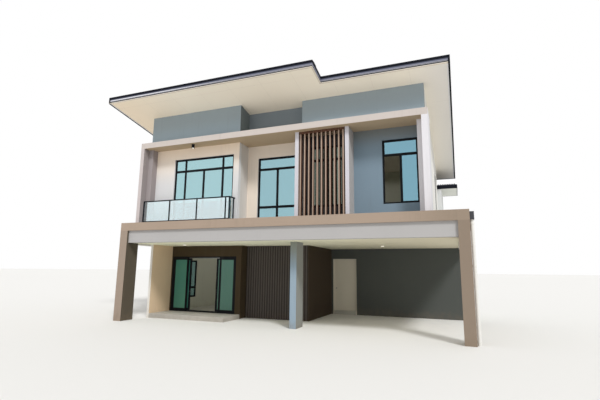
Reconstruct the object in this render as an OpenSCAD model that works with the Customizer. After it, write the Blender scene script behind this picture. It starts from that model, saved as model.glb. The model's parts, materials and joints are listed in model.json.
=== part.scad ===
// Two-storey detached house with a mono-pitch roof, a deep portal over the
// terrace and carport, and a slatted screen between the two upper bays.
// X runs along the front from left to right, Y runs from the front to the
// back, and Z is up. The drawing modules use the outer left edge and the
// front face of the portal as X = 0 and Y = 0.

/* [Portal] */
// Width of the portal over the outer faces of its legs
portal_w = 11600; // [11000:100:13000]
// Depth of the portal from front to back
portal_d = 560; // [400:20:700]
// Width of the left leg
left_leg_w = 320; // [250:10:400]
// Width of the right leg
right_leg_w = 290; // [250:10:400]
// Height of the top of the portal band
band_top = 3400; // [3350:10:3450]
// Height of the portal band
band_h = 280; // [250:10:300]

/* [Ground storey] */
// Height of the ground floor above the ground
floor_z = 150; // [100:10:200]
// Height of the outdoor ceiling
ceiling_z = 2696; // [2600:4:2720]
// Thickness of the outer walls
wall_t = 150; // [120:10:200]
// Front face of the wall with the sliding door
terrace_y = 2370; // [2200:10:2500]
// Right end of the wall with the sliding door
terrace_right = 3640; // [3600:10:3800]
// Front face of the fluted cladding beside the terrace
entry_y = 2780; // [2700:10:2900]
// Carport side of the fluted cladding
entry_right = 6200; // [6100:10:6240]
// Front face of the carport's back wall
carport_y = 5640; // [5400:20:5800]
// Right face of the ground storey's left wall
left_in = 446; // [430:2:460]
// Thickness of the ground storey's left wall
left_t = 100; // [90:5:110]
// Front end of the left wall, where it stands free beside the terrace
wing_y = 1230; // [1150:10:1400]

/* [Upper storey] */
// Height of the upper floor
upper_z = 3350; // [3330:10:3370]
// Thickness of the upper floor slab
upper_t = 200; // [150:10:200]
// Outer face of the upper left wall
house_left = 50; // [40:5:80]
// Outer face of the right wall
house_right = 10530; // [10500:10:10600]
// Outer face of the rear wall
house_back = 8200; // [7800:50:8400]
// Front face of the left bay
bay_y = 1184; // [1150:2:1300]
// Right face of the left bay
bay_right = 4077; // [4000:1:4150]
// Front face of the recessed middle wall
middle_y = 1857; // [1800:1:1950]
// Left face of the right bay
bay2_left = 6385; // [6300:5:6400]
// Front face of the right bay
bay2_y = 1490; // [1450:5:1550]

/* [Upper frame] */
// Left end of the frame
frame_left = 25; // [0:5:45]
// Front face of the frame around the upper front
frame_y = 647; // [600:1:700]
// Underside of the frame's top slab
frame_z = 6362; // [6330:2:6400]
// Thickness of the frame's top slab
frame_h = 212; // [180:4:240]
// Right end of the frame
frame_right = 10655; // [10640:5:10700]
// Width of the left upright
upright_left_w = 155; // [140:5:200]
// Width of the right upright
upright_right_w = 185; // [160:5:200]
// Width of the pier inside the left upright
pier_left_w = 200; // [150:10:220]
// Front face of the pier inside the left upright
pier_left_y = 925; // [900:5:1000]
// Width of the pier inside the right upright
pier_right_w = 160; // [140:5:200]
// Front face of the pier inside the right upright
pier_right_y = 1000; // [900:5:1100]

/* [Balcony] */
// Front face of the balustrade
balcony_y = 820; // [780:5:850]
// Right face of the balustrade's return
balcony_right = 3970; // [3900:10:4000]
// Top of the balustrade's rail
rail_top = 4320; // [4250:10:4400]
// Number of wide glass panels
panel_count = 3; // [2:1:4]

/* [Slatted screen] */
// Number of slats
slat_count = 11; // [9:1:13]
// Width of a slat
slat_w = 44; // [40:1:55]
// Depth of a slat
slat_d = 100; // [80:5:140]
// Front face of the fins beside the screen
fin_y = 865; // [800:5:950]
// Thickness of a fin
fin_w = 125; // [100:5:140]
// Right face of the right fin
screen_right = 8225; // [8150:5:8300]

/* [Fluted cladding] */
// Distance from one rib to the next
flute_pitch = 100; // [80:5:120]
// Width of a rib
rib_w = 60; // [50:5:70]
// Depth of a rib
rib_d = 20; // [14:1:24]

/* [Main roof] */
// Left edge of the roof
roof_left = -990; // [-1100:10:-900]
// Right edge of the roof
roof_right = 11354; // [11200:2:11450]
// Front edge of the roof's left part
roof_front = -170; // [-300:10:-100]
// Front edge of the roof's right part
roof_front2 = 675; // [600:5:750]
// Where the front edge steps back
roof_step = 7351; // [7000:1:7600]
// Rear edge of the roof
roof_back = 9306; // [9000:2:9500]
// Height of the soffit at the front edge
soffit_z = 8056; // [8000:4:8100]
// Fall of the roof towards the rear, in metres for each metre
roof_fall = 0.19; // [0.15:0.01:0.22]
// Thickness of the roof from the soffit to the top sheet
roof_t = 229; // [180:1:260]

/* [Rear wing] */
// Left face of the rear wing
wing_left = 7750; // [7000:50:8500]
// Right face of the rear wing
wing_right = 10715; // [10700:5:10800]
// Rear face of the rear wing
wing_back = 10100; // [10000:50:10150]
// Height of the rear wing's soffit
wing_z = 5570; // [5500:10:5600]
// Reach of the rear wing's roof beyond its side walls
wing_over = 695; // [600:5:720]
// Rear edge of the rear wing's roof
wing_roof_back = 10250; // [10200:10:10500]

/* [Doors] */
// Left edge of the sliding door set
slider_left = 490; // [480:5:500]
// Width of the sliding door set
slider_w = 2930; // [2800:10:2940]
// Height of the top of the doors
door_top = 2283; // [2200:1:2300]
// How far the left leaf stands open
left_open = 600; // [0:10:650]
// How far the right leaf stands open
right_open = 564; // [0:4:648]
// Left edge of the carport door's frame
door_left = 6260; // [6260:5:6300]
// Width of the carport door's frame
door_w = 1020; // [950:10:1100]

/* [Hidden] */

// Colours
cream = "#e9e4da";
blue_grey = "#8b969c";
light_grey = "#c9c5c2";
tan_grey = "#a3958a";
brown = "#5c4a40";
dark_grey = "#4a4a4b";
frame_dark = "#2f3234";
timber = "#8a6a52";
door_beige = "#d9d0c0";
glass_tint = [0.55, 0.68, 0.66, 0.5];

// Heights and places that follow from the driving sizes
band_z = band_top - band_h;
slab_z = upper_z - upper_t;
frame_top = frame_z + frame_h;
beam_z = ceiling_z - 46;
front_beam_y = 73;
front_beam_t = 200;
board_t = 24;
backing_t = 8;
clad_t = backing_t + rib_d;
entry_wall_x = entry_right - clad_t;
entry_wall_y = entry_y + clad_t;
left_out = left_in - left_t;
carport_back = carport_y + wall_t;
slider_right = slider_left + slider_w;
upright_in = frame_left + upright_left_w;
sheet_t = 55;
gutter_w = 110;
over = 50;
tall = 12000;
centre_x = (roof_left + portal_w + gutter_w) / 2;
centre_y = (roof_front + wing_roof_back) / 2;

// Windows: left edge or front edge, sill, width, height
bay_window = [1250, upper_z, 2600, 5945 - upper_z];
middle_window = [4510, 3550, 1540, 5887 - 3550];
screen_window = [6730, 3880, 1150, 2090];
right_window = [9162, 3880, 1128, 2090];
side_window = [0, 3905, 1100, 2025];
low_window = [0, 600, 1000, 1565];
wing_window = [0, 3550, 1100, 1100];
left_windows_y = [2600, 5600];
left_low_y = 3080;
right_windows_y = [3000, 6200];
right_low_y = 6400;
rear_windows_x = [1200, 4600];
wing_windows_x = [8700];
transom_h = 475;
middle_transom_h = 432;
right_transom_h = 505;
bar = 52;
sash_bar = 38;
sash_t = 28;
sash_gap = 10;
frame_d = 60;
glass_t = 10;
reveal = 45;
side_reveal = 30;

function soffit_at(y) = soffit_z - roof_fall * (y - roof_front);

// A window's hole in a wall that it stands in at a given place
function hole(window, at) = [at, window[1], window[2], window[3]];

module site() {
    translate([-centre_x, -centre_y, 0]) children();
}

module block(x0, x1, y0, y1, z0, z1) {
    translate([x0, y0, z0]) cube([x1 - x0, y1 - y0, z1 - z0]);
}

// The space under the roof's soffit
module under_soffit() {
    intersection() {
        children();
        translate([roof_left - over, 0, 0]) rotate([90, 0, 90])
            linear_extrude(roof_right - roof_left + 2 * over)
            polygon([
                [roof_front - 2 * over, 0], [roof_back + over, 0],
                [roof_back + over, soffit_at(roof_back + over)],
                [roof_front - 2 * over, soffit_at(roof_front - 2 * over)]
            ]);
    }
}

// A wall along X with openings [left, sill, width, height]
module wall_x(x0, x1, y0, z0, z1, openings = [], t = wall_t) {
    difference() {
        block(x0, x1, y0, y0 + t, z0, z1);
        for (o = openings)
            block(o[0], o[0] + o[2], y0 - over, y0 + t + over, o[1], o[1] + o[3]);
    }
}

// A wall along Y with openings [front edge, sill, width, height]
module wall_y(x0, y0, y1, z0, z1, openings = [], t = wall_t) {
    difference() {
        block(x0, x0 + t, y0, y1, z0, z1);
        for (o = openings)
            block(x0 - over, x0 + t + over, o[0], o[0] + o[2], o[1], o[1] + o[3]);
    }
}

// A frame in the XZ plane, from its lower left corner
module ring_xz(w, h, d, b) {
    translate([0, d, 0]) rotate([90, 0, 0]) linear_extrude(d)
        difference() {
            square([w, h]);
            translate([b, b]) square([w - 2 * b, h - 2 * b]);
        }
}

// Ground storey
module ground_floor() {
    door_x = door_left + jamb;
    door_end = door_left + door_w - jamb;
    color(light_grey) site() linear_extrude(floor_z) {
        polygon([
            [left_in, terrace_y + wall_t],
            [terrace_right - wall_t, terrace_y + wall_t],
            [terrace_right - wall_t, entry_wall_y + wall_t],
            [entry_wall_x - wall_t, entry_wall_y + wall_t],
            [entry_wall_x - wall_t, carport_back], [door_x, carport_back],
            [door_x, carport_y], [door_end, carport_y],
            [door_end, carport_back], [house_right - wall_t, carport_back],
            [house_right - wall_t, house_back - wall_t],
            [left_in, house_back - wall_t]
        ]);
        wing_room();
    }
}

module terrace_slab() {
    color(light_grey) site() linear_extrude(floor_z) polygon([
        [left_in, wing_y], [terrace_right, wing_y],
        [terrace_right, terrace_y], [slider_right, terrace_y],
        [slider_right, terrace_y + wall_t], [left_in, terrace_y + wall_t]
    ]);
}

module left_wall_ground() {
    color(cream) site() wall_y(left_out, wing_y, house_back, 0, slab_z,
                               [hole(low_window, left_low_y)], left_t);
}

module terrace_wall() {
    color(brown) site() {
        wall_x(slider_right, terrace_right, terrace_y, 0, slab_z);
        block(terrace_right - wall_t, terrace_right,
              terrace_y + wall_t, entry_wall_y + wall_t, 0, slab_z);
    }
}

module terrace_wall_top() {
    color(brown) site() {
        wall_x(left_in, slider_right, terrace_y, door_top, slab_z);
        block(left_in, slider_left, terrace_y, terrace_y + wall_t,
              floor_z, door_top);
    }
}

module entry_wall() {
    color(brown) site() wall_x(terrace_right, entry_wall_x - wall_t,
                               entry_wall_y, 0, slab_z);
}

module entry_return_wall() {
    color(brown) site() wall_y(entry_wall_x - wall_t, entry_wall_y,
                               carport_back, 0, slab_z);
}

// A board with upright ribs: one rib after another along X, facing the front
module fluted_board(length) {
    taper = 5;
    count = floor((length - rib_w) / flute_pitch);
    start = (length - count * flute_pitch - rib_w) / 2;
    ribs = [for (i = [0 : count]) let (x = start + i * flute_pitch) each [
        [x, -backing_t], [x + taper, -clad_t],
        [x + rib_w - taper, -clad_t], [x + rib_w, -backing_t]
    ]];
    linear_extrude(ceiling_z) polygon(concat(
        [[0, 0], [0, -backing_t]], ribs, [[length, -backing_t], [length, 0]]
    ));
}

module entry_cladding() {
    color(brown) site() translate([terrace_right, entry_wall_y, 0])
        fluted_board(entry_wall_x - terrace_right);
}

module return_cladding() {
    color(brown) site() translate([entry_wall_x, entry_y, 0])
        rotate([0, 0, 90]) fluted_board(carport_y - entry_y);
}

module carport_wall() {
    color(dark_grey) site() {
        wall_x(door_left + door_w, portal_w, carport_y, 0, slab_z);
        wall_x(entry_wall_x, door_left, carport_y, 0, door_top);
    }
}

module carport_wall_top() {
    color(dark_grey) site() wall_x(entry_wall_x, door_left + door_w,
                                   carport_y, door_top, slab_z);
}

module right_wall_ground() {
    color(cream) site()
        wall_y(house_right - wall_t, carport_back, house_back, 0, slab_z,
               [hole(low_window, right_low_y)]);
}

module rear_wall_ground() {
    color(cream) site()
        wall_x(left_in, house_right - wall_t, house_back - wall_t, 0, slab_z,
               [for (x = rear_windows_x) hole(low_window, x)]);
}

column_left = 6275;
column_w = 213;
column_y = 856;
column_d = 587;

module column() {
    color(light_grey) site()
        block(column_left, column_left + column_w,
              column_y, column_y + column_d, 0, slab_z);
}

// Portal
module portal_legs() {
    color(tan_grey) site() {
        block(0, left_leg_w, 0, portal_d, 0, band_z);
        block(portal_w - right_leg_w, portal_w, 0, portal_d, 0, band_z);
    }
}

module portal_band() {
    color(tan_grey) site() block(0, portal_w, 0, portal_d, band_z, band_top);
}

module front_beam() {
    color(light_grey) site()
        block(left_leg_w, portal_w - right_leg_w, front_beam_y,
              front_beam_y + front_beam_t, ceiling_z, band_z);
}

module side_beams() {
    color(cream) site() translate([0, 0, beam_z])
        linear_extrude(slab_z - beam_z) {
            polygon([
                [0, portal_d], [left_leg_w, portal_d], [left_leg_w, wing_y],
                [left_out, wing_y], [left_out, house_back], [0, house_back]
            ]);
            translate([portal_w - right_leg_w, portal_d])
                square([right_leg_w, carport_y - portal_d]);
        }
}

module ceiling() {
    color(cream) site() difference() {
        translate([0, 0, ceiling_z]) linear_extrude(board_t) polygon([
            [left_leg_w, front_beam_y + front_beam_t],
            [portal_w - right_leg_w, front_beam_y + front_beam_t],
            [portal_w - right_leg_w, carport_y], [entry_wall_x, carport_y],
            [entry_wall_x, entry_wall_y], [terrace_right, entry_wall_y],
            [terrace_right, terrace_y], [left_in, terrace_y],
            [left_in, wing_y], [left_leg_w, wing_y]
        ]);
        block(column_left, column_left + column_w, column_y,
              column_y + column_d, ceiling_z - over, ceiling_z + over);
    }
}

module upper_floor() {
    color(light_grey) site() translate([0, 0, slab_z])
        linear_extrude(upper_t) {
            polygon([
                [0, portal_d], [portal_w, portal_d], [portal_w, carport_back],
                [house_right, carport_back], [house_right, house_back],
                [0, house_back]
            ]);
            wing_room();
        }
}

// Upper storey
module bay_wall() {
    color(cream) site() wall_x(house_left, bay_right, bay_y, upper_z,
                               frame_z, [bay_window]);
}

module bay_returns() {
    color(cream) site() {
        block(bay_right - wall_t, bay_right, bay_y + wall_t,
              middle_y + wall_t, upper_z, frame_z);
        block(bay2_left, bay2_left + wall_t, bay2_y + wall_t,
              middle_y + wall_t, upper_z, frame_z);
    }
}

module middle_wall() {
    color(cream) site() wall_x(bay_right, bay2_left, middle_y, upper_z,
                               frame_z, [middle_window]);
}

module right_bay_wall() {
    color(blue_grey) site() wall_x(bay2_left, house_right, bay2_y, upper_z,
                                   frame_z, [screen_window, right_window]);
}

module left_wall_upper() {
    color(cream) site() under_soffit()
        wall_y(house_left, bay_y + wall_t, house_back, upper_z, tall,
               [for (y = left_windows_y) hole(side_window, y)]);
}

module right_wall_upper() {
    color(cream) site() under_soffit()
        wall_y(house_right - wall_t, bay2_y + wall_t, house_back, upper_z, tall,
               [for (y = right_windows_y) hole(side_window, y)]);
}

module rear_wall_upper() {
    color(cream) site() under_soffit()
        wall_x(house_left + wall_t, house_right - wall_t,
               house_back - wall_t, upper_z, tall,
               [for (x = rear_windows_x) hole(side_window, x)]);
}

// The wall between the frame's top slab and the soffit follows the bays
module upper_band() {
    color(blue_grey) site() under_soffit()
        translate([0, 0, frame_top]) linear_extrude(tall) polygon([
            [house_left, bay_y], [bay_right, bay_y], [bay_right, middle_y],
            [bay2_left, middle_y], [bay2_left, bay2_y],
            [house_right, bay2_y], [house_right, bay2_y + wall_t],
            [bay2_left + wall_t, bay2_y + wall_t],
            [bay2_left + wall_t, middle_y + wall_t],
            [bay_right - wall_t, middle_y + wall_t],
            [bay_right - wall_t, bay_y + wall_t],
            [house_left, bay_y + wall_t]
        ]);
}

module frame_slab() {
    color(light_grey) site() translate([0, 0, frame_z])
        linear_extrude(frame_h) polygon([
            [frame_left, frame_y], [frame_right, frame_y],
            [frame_right, bay2_y + wall_t],
            [bay2_left + wall_t, bay2_y + wall_t],
            [bay2_left + wall_t, middle_y + wall_t],
            [bay_right - wall_t, middle_y + wall_t],
            [bay_right - wall_t, bay_y + wall_t],
            [frame_left, bay_y + wall_t]
        ]);
}

// Each upright has a pier on its inner side, set back
module frame_uprights() {
    upright_x = frame_right - upright_right_w;
    color(light_grey) site() {
        block(frame_left, upright_in, frame_y, bay_y, upper_z, frame_z);
        block(upright_in, upright_in + pier_left_w, pier_left_y, bay_y,
              upper_z, frame_z);
        block(upright_x, frame_right, frame_y, bay2_y, upper_z, frame_z);
        block(upright_x - pier_right_w, upright_x, pier_right_y, bay2_y,
              upper_z, frame_z);
    }
}

// Slatted screen
screen_left = bay2_left;
slat_margin = 45;
slat_y = fin_y + 20;
header_h = 85;
sill_rail_h = 60;

module screen_fins() {
    color(cream) site() {
        block(screen_left, screen_left + fin_w, fin_y, bay2_y,
              upper_z, frame_z);
        block(screen_right - fin_w, screen_right, fin_y, bay2_y,
              upper_z, frame_z);
    }
}

module slat_screen() {
    inner = screen_left + fin_w;
    inner_w = screen_right - screen_left - 2 * fin_w;
    pitch = (inner_w - 2 * slat_margin - slat_w) / (slat_count - 1);
    color(timber) site() {
        for (i = [0 : slat_count - 1]) {
            x = inner + slat_margin + i * pitch;
            block(x, x + slat_w, slat_y, slat_y + slat_d,
                  upper_z + sill_rail_h, frame_z - header_h);
        }
        block(inner, inner + inner_w, slat_y, slat_y + slat_d,
              frame_z - header_h, frame_z);
        block(inner, inner + inner_w, slat_y, slat_y + slat_d,
              upper_z, upper_z + sill_rail_h);
    }
}

// Balcony
rail_t = 40;
post_w = 40;
foot_rail_z = 3510;
corner_x = balcony_right - post_w;
corner_light = 110;
post_pitch = (corner_x - corner_light - post_w - upright_in) / panel_count;
back_post_y = bay_y - 95;

module balustrade() {
    color(frame_dark) site() {
        for (x = [for (i = [0 : panel_count]) upright_in + i * post_pitch])
            block(x, x + post_w, balcony_y, balcony_y + post_w,
                  upper_z, rail_top - rail_t);
        for (y = [balcony_y, back_post_y])
            block(corner_x, balcony_right, y, y + post_w,
                  upper_z, rail_top - rail_t);
        for (z = [foot_rail_z, rail_top - rail_t]) {
            block(upright_in, balcony_right, balcony_y,
                  balcony_y + post_w, z, z + rail_t);
            block(corner_x, balcony_right, balcony_y + post_w, bay_y,
                  z, z + rail_t);
        }
    }
}

module balustrade_glass() {
    z0 = foot_rail_z + rail_t;
    z1 = rail_top - rail_t;
    inset = (post_w - glass_t) / 2;
    y = balcony_y + inset;
    color(glass_tint) site() {
        for (i = [0 : panel_count - 1]) {
            x = upright_in + i * post_pitch + post_w;
            block(x, x + post_pitch - post_w, y, y + glass_t, z0, z1);
        }
        block(corner_x - corner_light, corner_x, y, y + glass_t, z0, z1);
        block(corner_x + inset, corner_x + inset + glass_t,
              balcony_y + post_w, back_post_y, z0, z1);
    }
}

// Windows
// The lights between the bars of a frame, as [left, bottom, right, top]
function cells(columns, rows) =
    [for (c = columns, r = rows) [c[0], r[0], c[1], r[1]]];

function halves(w) = [[bar, (w - bar) / 2], [(w + bar) / 2, w - bar]];

// Two sashes under a transom light
function sash_lights(w, h, top = transom_h) = let (t = h - top) concat(
    cells(halves(w), [[bar, t - bar / 2]]),
    cells([[bar, w - bar]], [[t + bar / 2, h - bar]]));

// Two sashes over two short fixed lights
function low_lights(w, h, low) =
    cells(halves(w), [[bar, low - bar / 2], [low + bar / 2, h - bar]]);

// Two sashes between a transom light and two short fixed lights
function middle_lights(w, h, low) = concat(
    low_lights(w, h - middle_transom_h + bar / 2, low),
    cells([[bar, w - bar]], [[h - middle_transom_h + bar / 2, h - bar]]));

// Two sashes between side lights, with a transom over all of them
function bay_lights(w, h, side) =
    let (t = h - transom_h, b = bar / 2, low = [bar, t - b],
         high = [t + b, h - bar])
    concat(cells([[bar, side - b], [w - side + b, w - bar]], [low, high]),
           cells([[side + b, w / 2 - b], [w / 2 + b, w - side - b]], [low]),
           cells([[side + b, w - side - b]], [high]));

// Each window of the front: its place, the wall's face and its lights
front_windows = [
    [bay_window, bay_y, bay_lights(bay_window[2], bay_window[3], 475)],
    [middle_window, middle_y,
     middle_lights(middle_window[2], middle_window[3], 490)],
    [screen_window, bay2_y - reveal,
     sash_lights(screen_window[2], screen_window[3])],
    [right_window, bay2_y, sash_lights(right_window[2], right_window[3],
                                       right_transom_h)]
];
side_lights = sash_lights(side_window[2], side_window[3]);
ground_lights = low_lights(low_window[2], low_window[3], 410);
wing_lights = cells(halves(wing_window[2]), [[bar, wing_window[3] - bar]]);

// The right window's left sash, slid open behind the right one: its outline as
// [left, bottom, right, top] in the window
open_sash = [
    (right_window[2] + bar) / 2 + sash_gap, bar / 2,
    right_window[2] - sash_gap, right_window[3] - right_transom_h
];

// A window's frame is a plate with a hole for each light
module window_frame(window, lights, y) {
    translate([window[0], y + frame_d, window[1]]) rotate([90, 0, 0])
        linear_extrude(frame_d) difference() {
            square([window[2], window[3]]);
            for (l = lights)
                translate([l[0], l[1]]) square([l[2] - l[0], l[3] - l[1]]);
        }
}

module window_glass(window, lights, y) {
    z = window[1];
    front = y + (frame_d - glass_t) / 2;
    translate([window[0], 0, 0]) for (l = lights)
        block(l[0], l[2], front, front + glass_t, z + l[1], z + l[3]);
}

// The open sash's outline, made smaller by a bar on each side
module sash_outline(inset = 0) {
    s = open_sash;
    translate([s[0] + inset, s[1] + inset])
        square([s[2] - s[0] - 2 * inset, s[3] - s[1] - 2 * inset]);
}

module sash_plate(t, shift) {
    y = bay2_y + reveal + frame_d + shift;
    translate([right_window[0], y + t, right_window[1]])
        rotate([90, 0, 0]) linear_extrude(t) children();
}

module front_window_frames() {
    color(frame_dark) site() {
        for (f = front_windows) window_frame(f[0], f[2], f[1] + reveal);
        sash_plate(sash_t, 0) difference() {
            sash_outline();
            sash_outline(sash_bar);
        }
    }
}

// The open light has no pane of its own
function is_open(f, l) = f[0] == right_window && l[0] == bar && l[1] == bar;

module front_window_glass() {
    color(glass_tint) site() {
        for (f = front_windows)
            window_glass(f[0], [for (l = f[2]) if (!is_open(f, l)) l],
                         f[1] + reveal);
        sash_plate(glass_t, (sash_t - glass_t) / 2) sash_outline(sash_bar);
    }
}

// Turns a window that faces the front, so that it faces left, right or back
module facing_left(x, y, w) {
    translate([x, y + w, 0]) rotate([0, 0, -90]) children();
}

module facing_right(x, y) {
    translate([x, y, 0]) rotate([0, 0, 90]) children();
}

module facing_back(x, y, w) {
    translate([x + w, y, 0]) rotate([0, 0, 180]) children();
}

// Every window of the sides and the back, drawn by the three children: an
// upper window, a window of the ground storey and one of the wing's upper one
module side_windows() {
    w = side_window[2];
    low_w = low_window[2];
    for (y = left_windows_y) facing_left(house_left, y, w) children(0);
    for (y = right_windows_y) facing_right(house_right, y) children(0);
    for (x = rear_windows_x) facing_back(x, house_back, w) children(0);
    for (x = rear_windows_x) facing_back(x, house_back, low_w) children(1);
    for (x = wing_windows_x) facing_back(x, wing_back, low_w) children(1);
    for (x = wing_windows_x)
        facing_back(x, wing_back, wing_window[2]) children(2);
    facing_left(left_out, left_low_y, low_w) children(1);
    facing_right(house_right, right_low_y) children(1);
}

module side_window_frames() {
    color(frame_dark) site() side_windows() {
        window_frame(side_window, side_lights, side_reveal);
        window_frame(low_window, ground_lights, side_reveal);
        window_frame(wing_window, wing_lights, side_reveal);
    }
}

module side_window_glass() {
    color(glass_tint) site() side_windows() {
        window_glass(side_window, side_lights, side_reveal);
        window_glass(low_window, ground_lights, side_reveal);
        window_glass(wing_window, wing_lights, side_reveal);
    }
}

// Sliding door
slider_d = 130;
slider_y = terrace_y + 10;
slider_bar = 50;
light_d = 40;
leaf_gap = 6;
slider_h = door_top - floor_z;
stile = 60;
light_w = 690;
leaf_w = 755;
fixed_y = slider_y + 12;
leaf_y = fixed_y + light_d + leaf_gap;
leaf_z = floor_z + slider_bar + leaf_gap;
leaf_h = slider_h - 2 * slider_bar - 2 * leaf_gap;
slider_mid = slider_left + slider_w / 2;
meeting_gap = 6;

module sash_glass(w, h) {
    translate([stile, (light_d - glass_t) / 2, stile])
        cube([w - 2 * stile, glass_t, h - 2 * stile]);
}

module fixed_lights() {
    for (x = [slider_left + slider_bar, slider_right - slider_bar - light_w])
        translate([x, fixed_y, floor_z + slider_bar]) children();
}

module sliding_door_frame() {
    color(frame_dark) site() {
        translate([slider_left, slider_y, floor_z])
            ring_xz(slider_w, slider_h, slider_d, slider_bar);
        fixed_lights()
            ring_xz(light_w, slider_h - 2 * slider_bar, light_d, stile);
    }
}

module sliding_door_glass() {
    color(glass_tint) site() fixed_lights()
        sash_glass(light_w, slider_h - 2 * slider_bar);
}

handle_h = 260;
handle_z = 950;
handle_d = 18;

// A bow handle on two posts, in front of a leaf's stile
module bow_handle() {
    reach = 36;
    post = handle_h / 2 - handle_d;
    for (z = [handle_z - post, handle_z + post])
        translate([0, light_d / 2, z]) rotate([90, 0, 0])
            cylinder(d = handle_d - 4, h = reach + light_d / 2, $fn = 24);
    translate([0, -reach, handle_z - handle_h / 2])
        cylinder(d = handle_d, h = handle_h, $fn = 24);
}

module at_left_leaf() {
    translate([slider_mid - leaf_w - meeting_gap / 2 - left_open,
               leaf_y, leaf_z]) children();
}

module at_right_leaf() {
    translate([slider_mid + meeting_gap / 2 + right_open, leaf_y, leaf_z])
        children();
}

module left_leaf() {
    color(frame_dark) site() at_left_leaf() {
        ring_xz(leaf_w, leaf_h, light_d, stile);
        translate([leaf_w - stile / 2, 0, 0]) bow_handle();
    }
}

module left_leaf_glass() {
    color(glass_tint) site() at_left_leaf() sash_glass(leaf_w, leaf_h);
}

module right_leaf() {
    color(frame_dark) site() at_right_leaf() {
        ring_xz(leaf_w, leaf_h, light_d, stile);
        translate([stile / 2, 0, 0]) bow_handle();
    }
}

module right_leaf_glass() {
    color(glass_tint) site() at_right_leaf() sash_glass(leaf_w, leaf_h);
}

// Carport door
jamb = 50;
jamb_d = 110;
door_gap = 8;
door_t = 40;
door_leaf_w = door_w - 2 * jamb - 2 * door_gap;
door_leaf_left = door_left + jamb + door_gap;
door_leaf_right = door_leaf_left + door_leaf_w;

// Butt hinges: the axis stands a knuckle's radius inside the leaf's face
knuckle_r = 7;
pin_r = 3;
bore_r = 3.3;
knuckle_h = 40;
end_knuckle_h = 24;
knuckle_gap = 0.5;
flap_w = 35;
flap_t = 2;
hinge_x = door_leaf_right + door_gap / 2;
hinge_y = carport_back + knuckle_r;
hinges_z = [350, 1170, 1990];

module at_hinges() {
    for (z = hinges_z) translate([hinge_x, hinge_y, z]) children();
}

module door_frame() {
    y = carport_back - jamb_d;
    lower = -end_knuckle_h - knuckle_gap;
    upper = knuckle_h + knuckle_gap;
    color(cream) site() {
        block(door_left, door_left + jamb, y, carport_back, 0, door_top);
        block(door_left + door_w - jamb, door_left + door_w, y,
              carport_back, 0, door_top);
        block(door_left + jamb, door_left + door_w - jamb, y, carport_back,
              door_top - jamb, door_top);
        at_hinges() {
            for (z = [lower, upper]) translate([0, 0, z]) {
                cylinder(r = knuckle_r, h = end_knuckle_h, $fn = 32);
                translate([0, -knuckle_r, 0])
                    cube([flap_w, flap_t, end_knuckle_h]);
            }
            translate([0, 0, lower])
                cylinder(r = pin_r, h = upper - lower + end_knuckle_h, $fn = 32);
        }
    }
}

handle_at = [door_leaf_left + 70, 1150];
rose_r = 26;
rose_t = 8;
lever_reach = 52;
lever_l = 125;
lever_d = 18;

// A lever with its rose, pointing away from the leaf's face along -Y
module lever_handle() {
    rotate([90, 0, 0]) {
        cylinder(r = rose_r, h = rose_t, $fn = 48);
        cylinder(d = lever_d, h = lever_reach + lever_d / 2, $fn = 32);
    }
    translate([0, -lever_reach, 0]) rotate([0, 90, 0])
        cylinder(d = lever_d, h = lever_l, $fn = 32);
}

module carport_door() {
    y = carport_back - door_t;
    color(door_beige) site() {
        block(door_leaf_left, door_leaf_right, y, carport_back,
              floor_z + door_gap, door_top - jamb - door_gap);
        translate([handle_at[0], y, handle_at[1]]) lever_handle();
        translate([handle_at[0], carport_back, handle_at[1]])
            mirror([0, 1, 0]) lever_handle();
        at_hinges() difference() {
            union() {
                cylinder(r = knuckle_r, h = knuckle_h, $fn = 32);
                translate([-flap_w, -knuckle_r, 0])
                    cube([flap_w, flap_t, knuckle_h]);
            }
            translate([0, 0, -over])
                cylinder(r = bore_r, h = knuckle_h + 2 * over, $fn = 32);
        }
    }
}

// Roof
fascia_t = 60;
barge_t = 55;
barge_drop = 12;
drip_h = 26;
strip_h = 54;
band_bottom = drip_h + strip_h;
band_height = roof_t - sheet_t - band_bottom;
side_strip_w = 40;
side_strip_t = 8;
rib_pitch = 200;
rib_h = 28;
rib_foot = 62;
rib_crest = 26;
rib_start = 200;
flashing_w = 180;

// The layer of the roof between two heights above the soffit
module roof_layer(from, to) {
    intersection() {
        linear_extrude(tall) children();
        translate([roof_left - over, 0, 0]) rotate([90, 0, 90])
            linear_extrude(roof_right - roof_left + 2 * over)
            polygon([
                [roof_front - over, soffit_at(roof_front - over) + from],
                [roof_back + over, soffit_at(roof_back + over) + from],
                [roof_back + over, soffit_at(roof_back + over) + to],
                [roof_front - over, soffit_at(roof_front - over) + to]
            ]);
    }
}

// The outline of the roof, set in from the front and from the other edges
module roof_plan(front = 0, side = 0) {
    polygon([
        [roof_left + side, roof_front + front],
        [roof_step - front, roof_front + front],
        [roof_step - front, roof_front2 + front],
        [roof_right - side, roof_front2 + front],
        [roof_right - side, roof_back - side],
        [roof_left + side, roof_back - side]
    ]);
}

// A board along the front edges and round their step, between the side boards
module front_board(from) {
    difference() {
        roof_plan(from, barge_t);
        roof_plan(fascia_t, barge_t - over);
    }
}

// A strip along the left, rear and right edges
module side_board(from, to, front = 0) {
    difference() {
        roof_plan(front, from);
        translate([roof_left + to, roof_front - over])
            square([roof_right - roof_left - 2 * to,
                    roof_back - roof_front - to + over]);
    }
}

// A long profile down the slope: its points are across X and above the sheet
module down_slope(y0, y1, points) {
    length = (y1 - y0) * sqrt(1 + roof_fall * roof_fall);
    translate([0, y0, soffit_at(y0) + roof_t])
        rotate([90 - atan(roof_fall), 0, 0]) mirror([0, 0, 1])
        linear_extrude(length) polygon(points);
}

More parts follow.
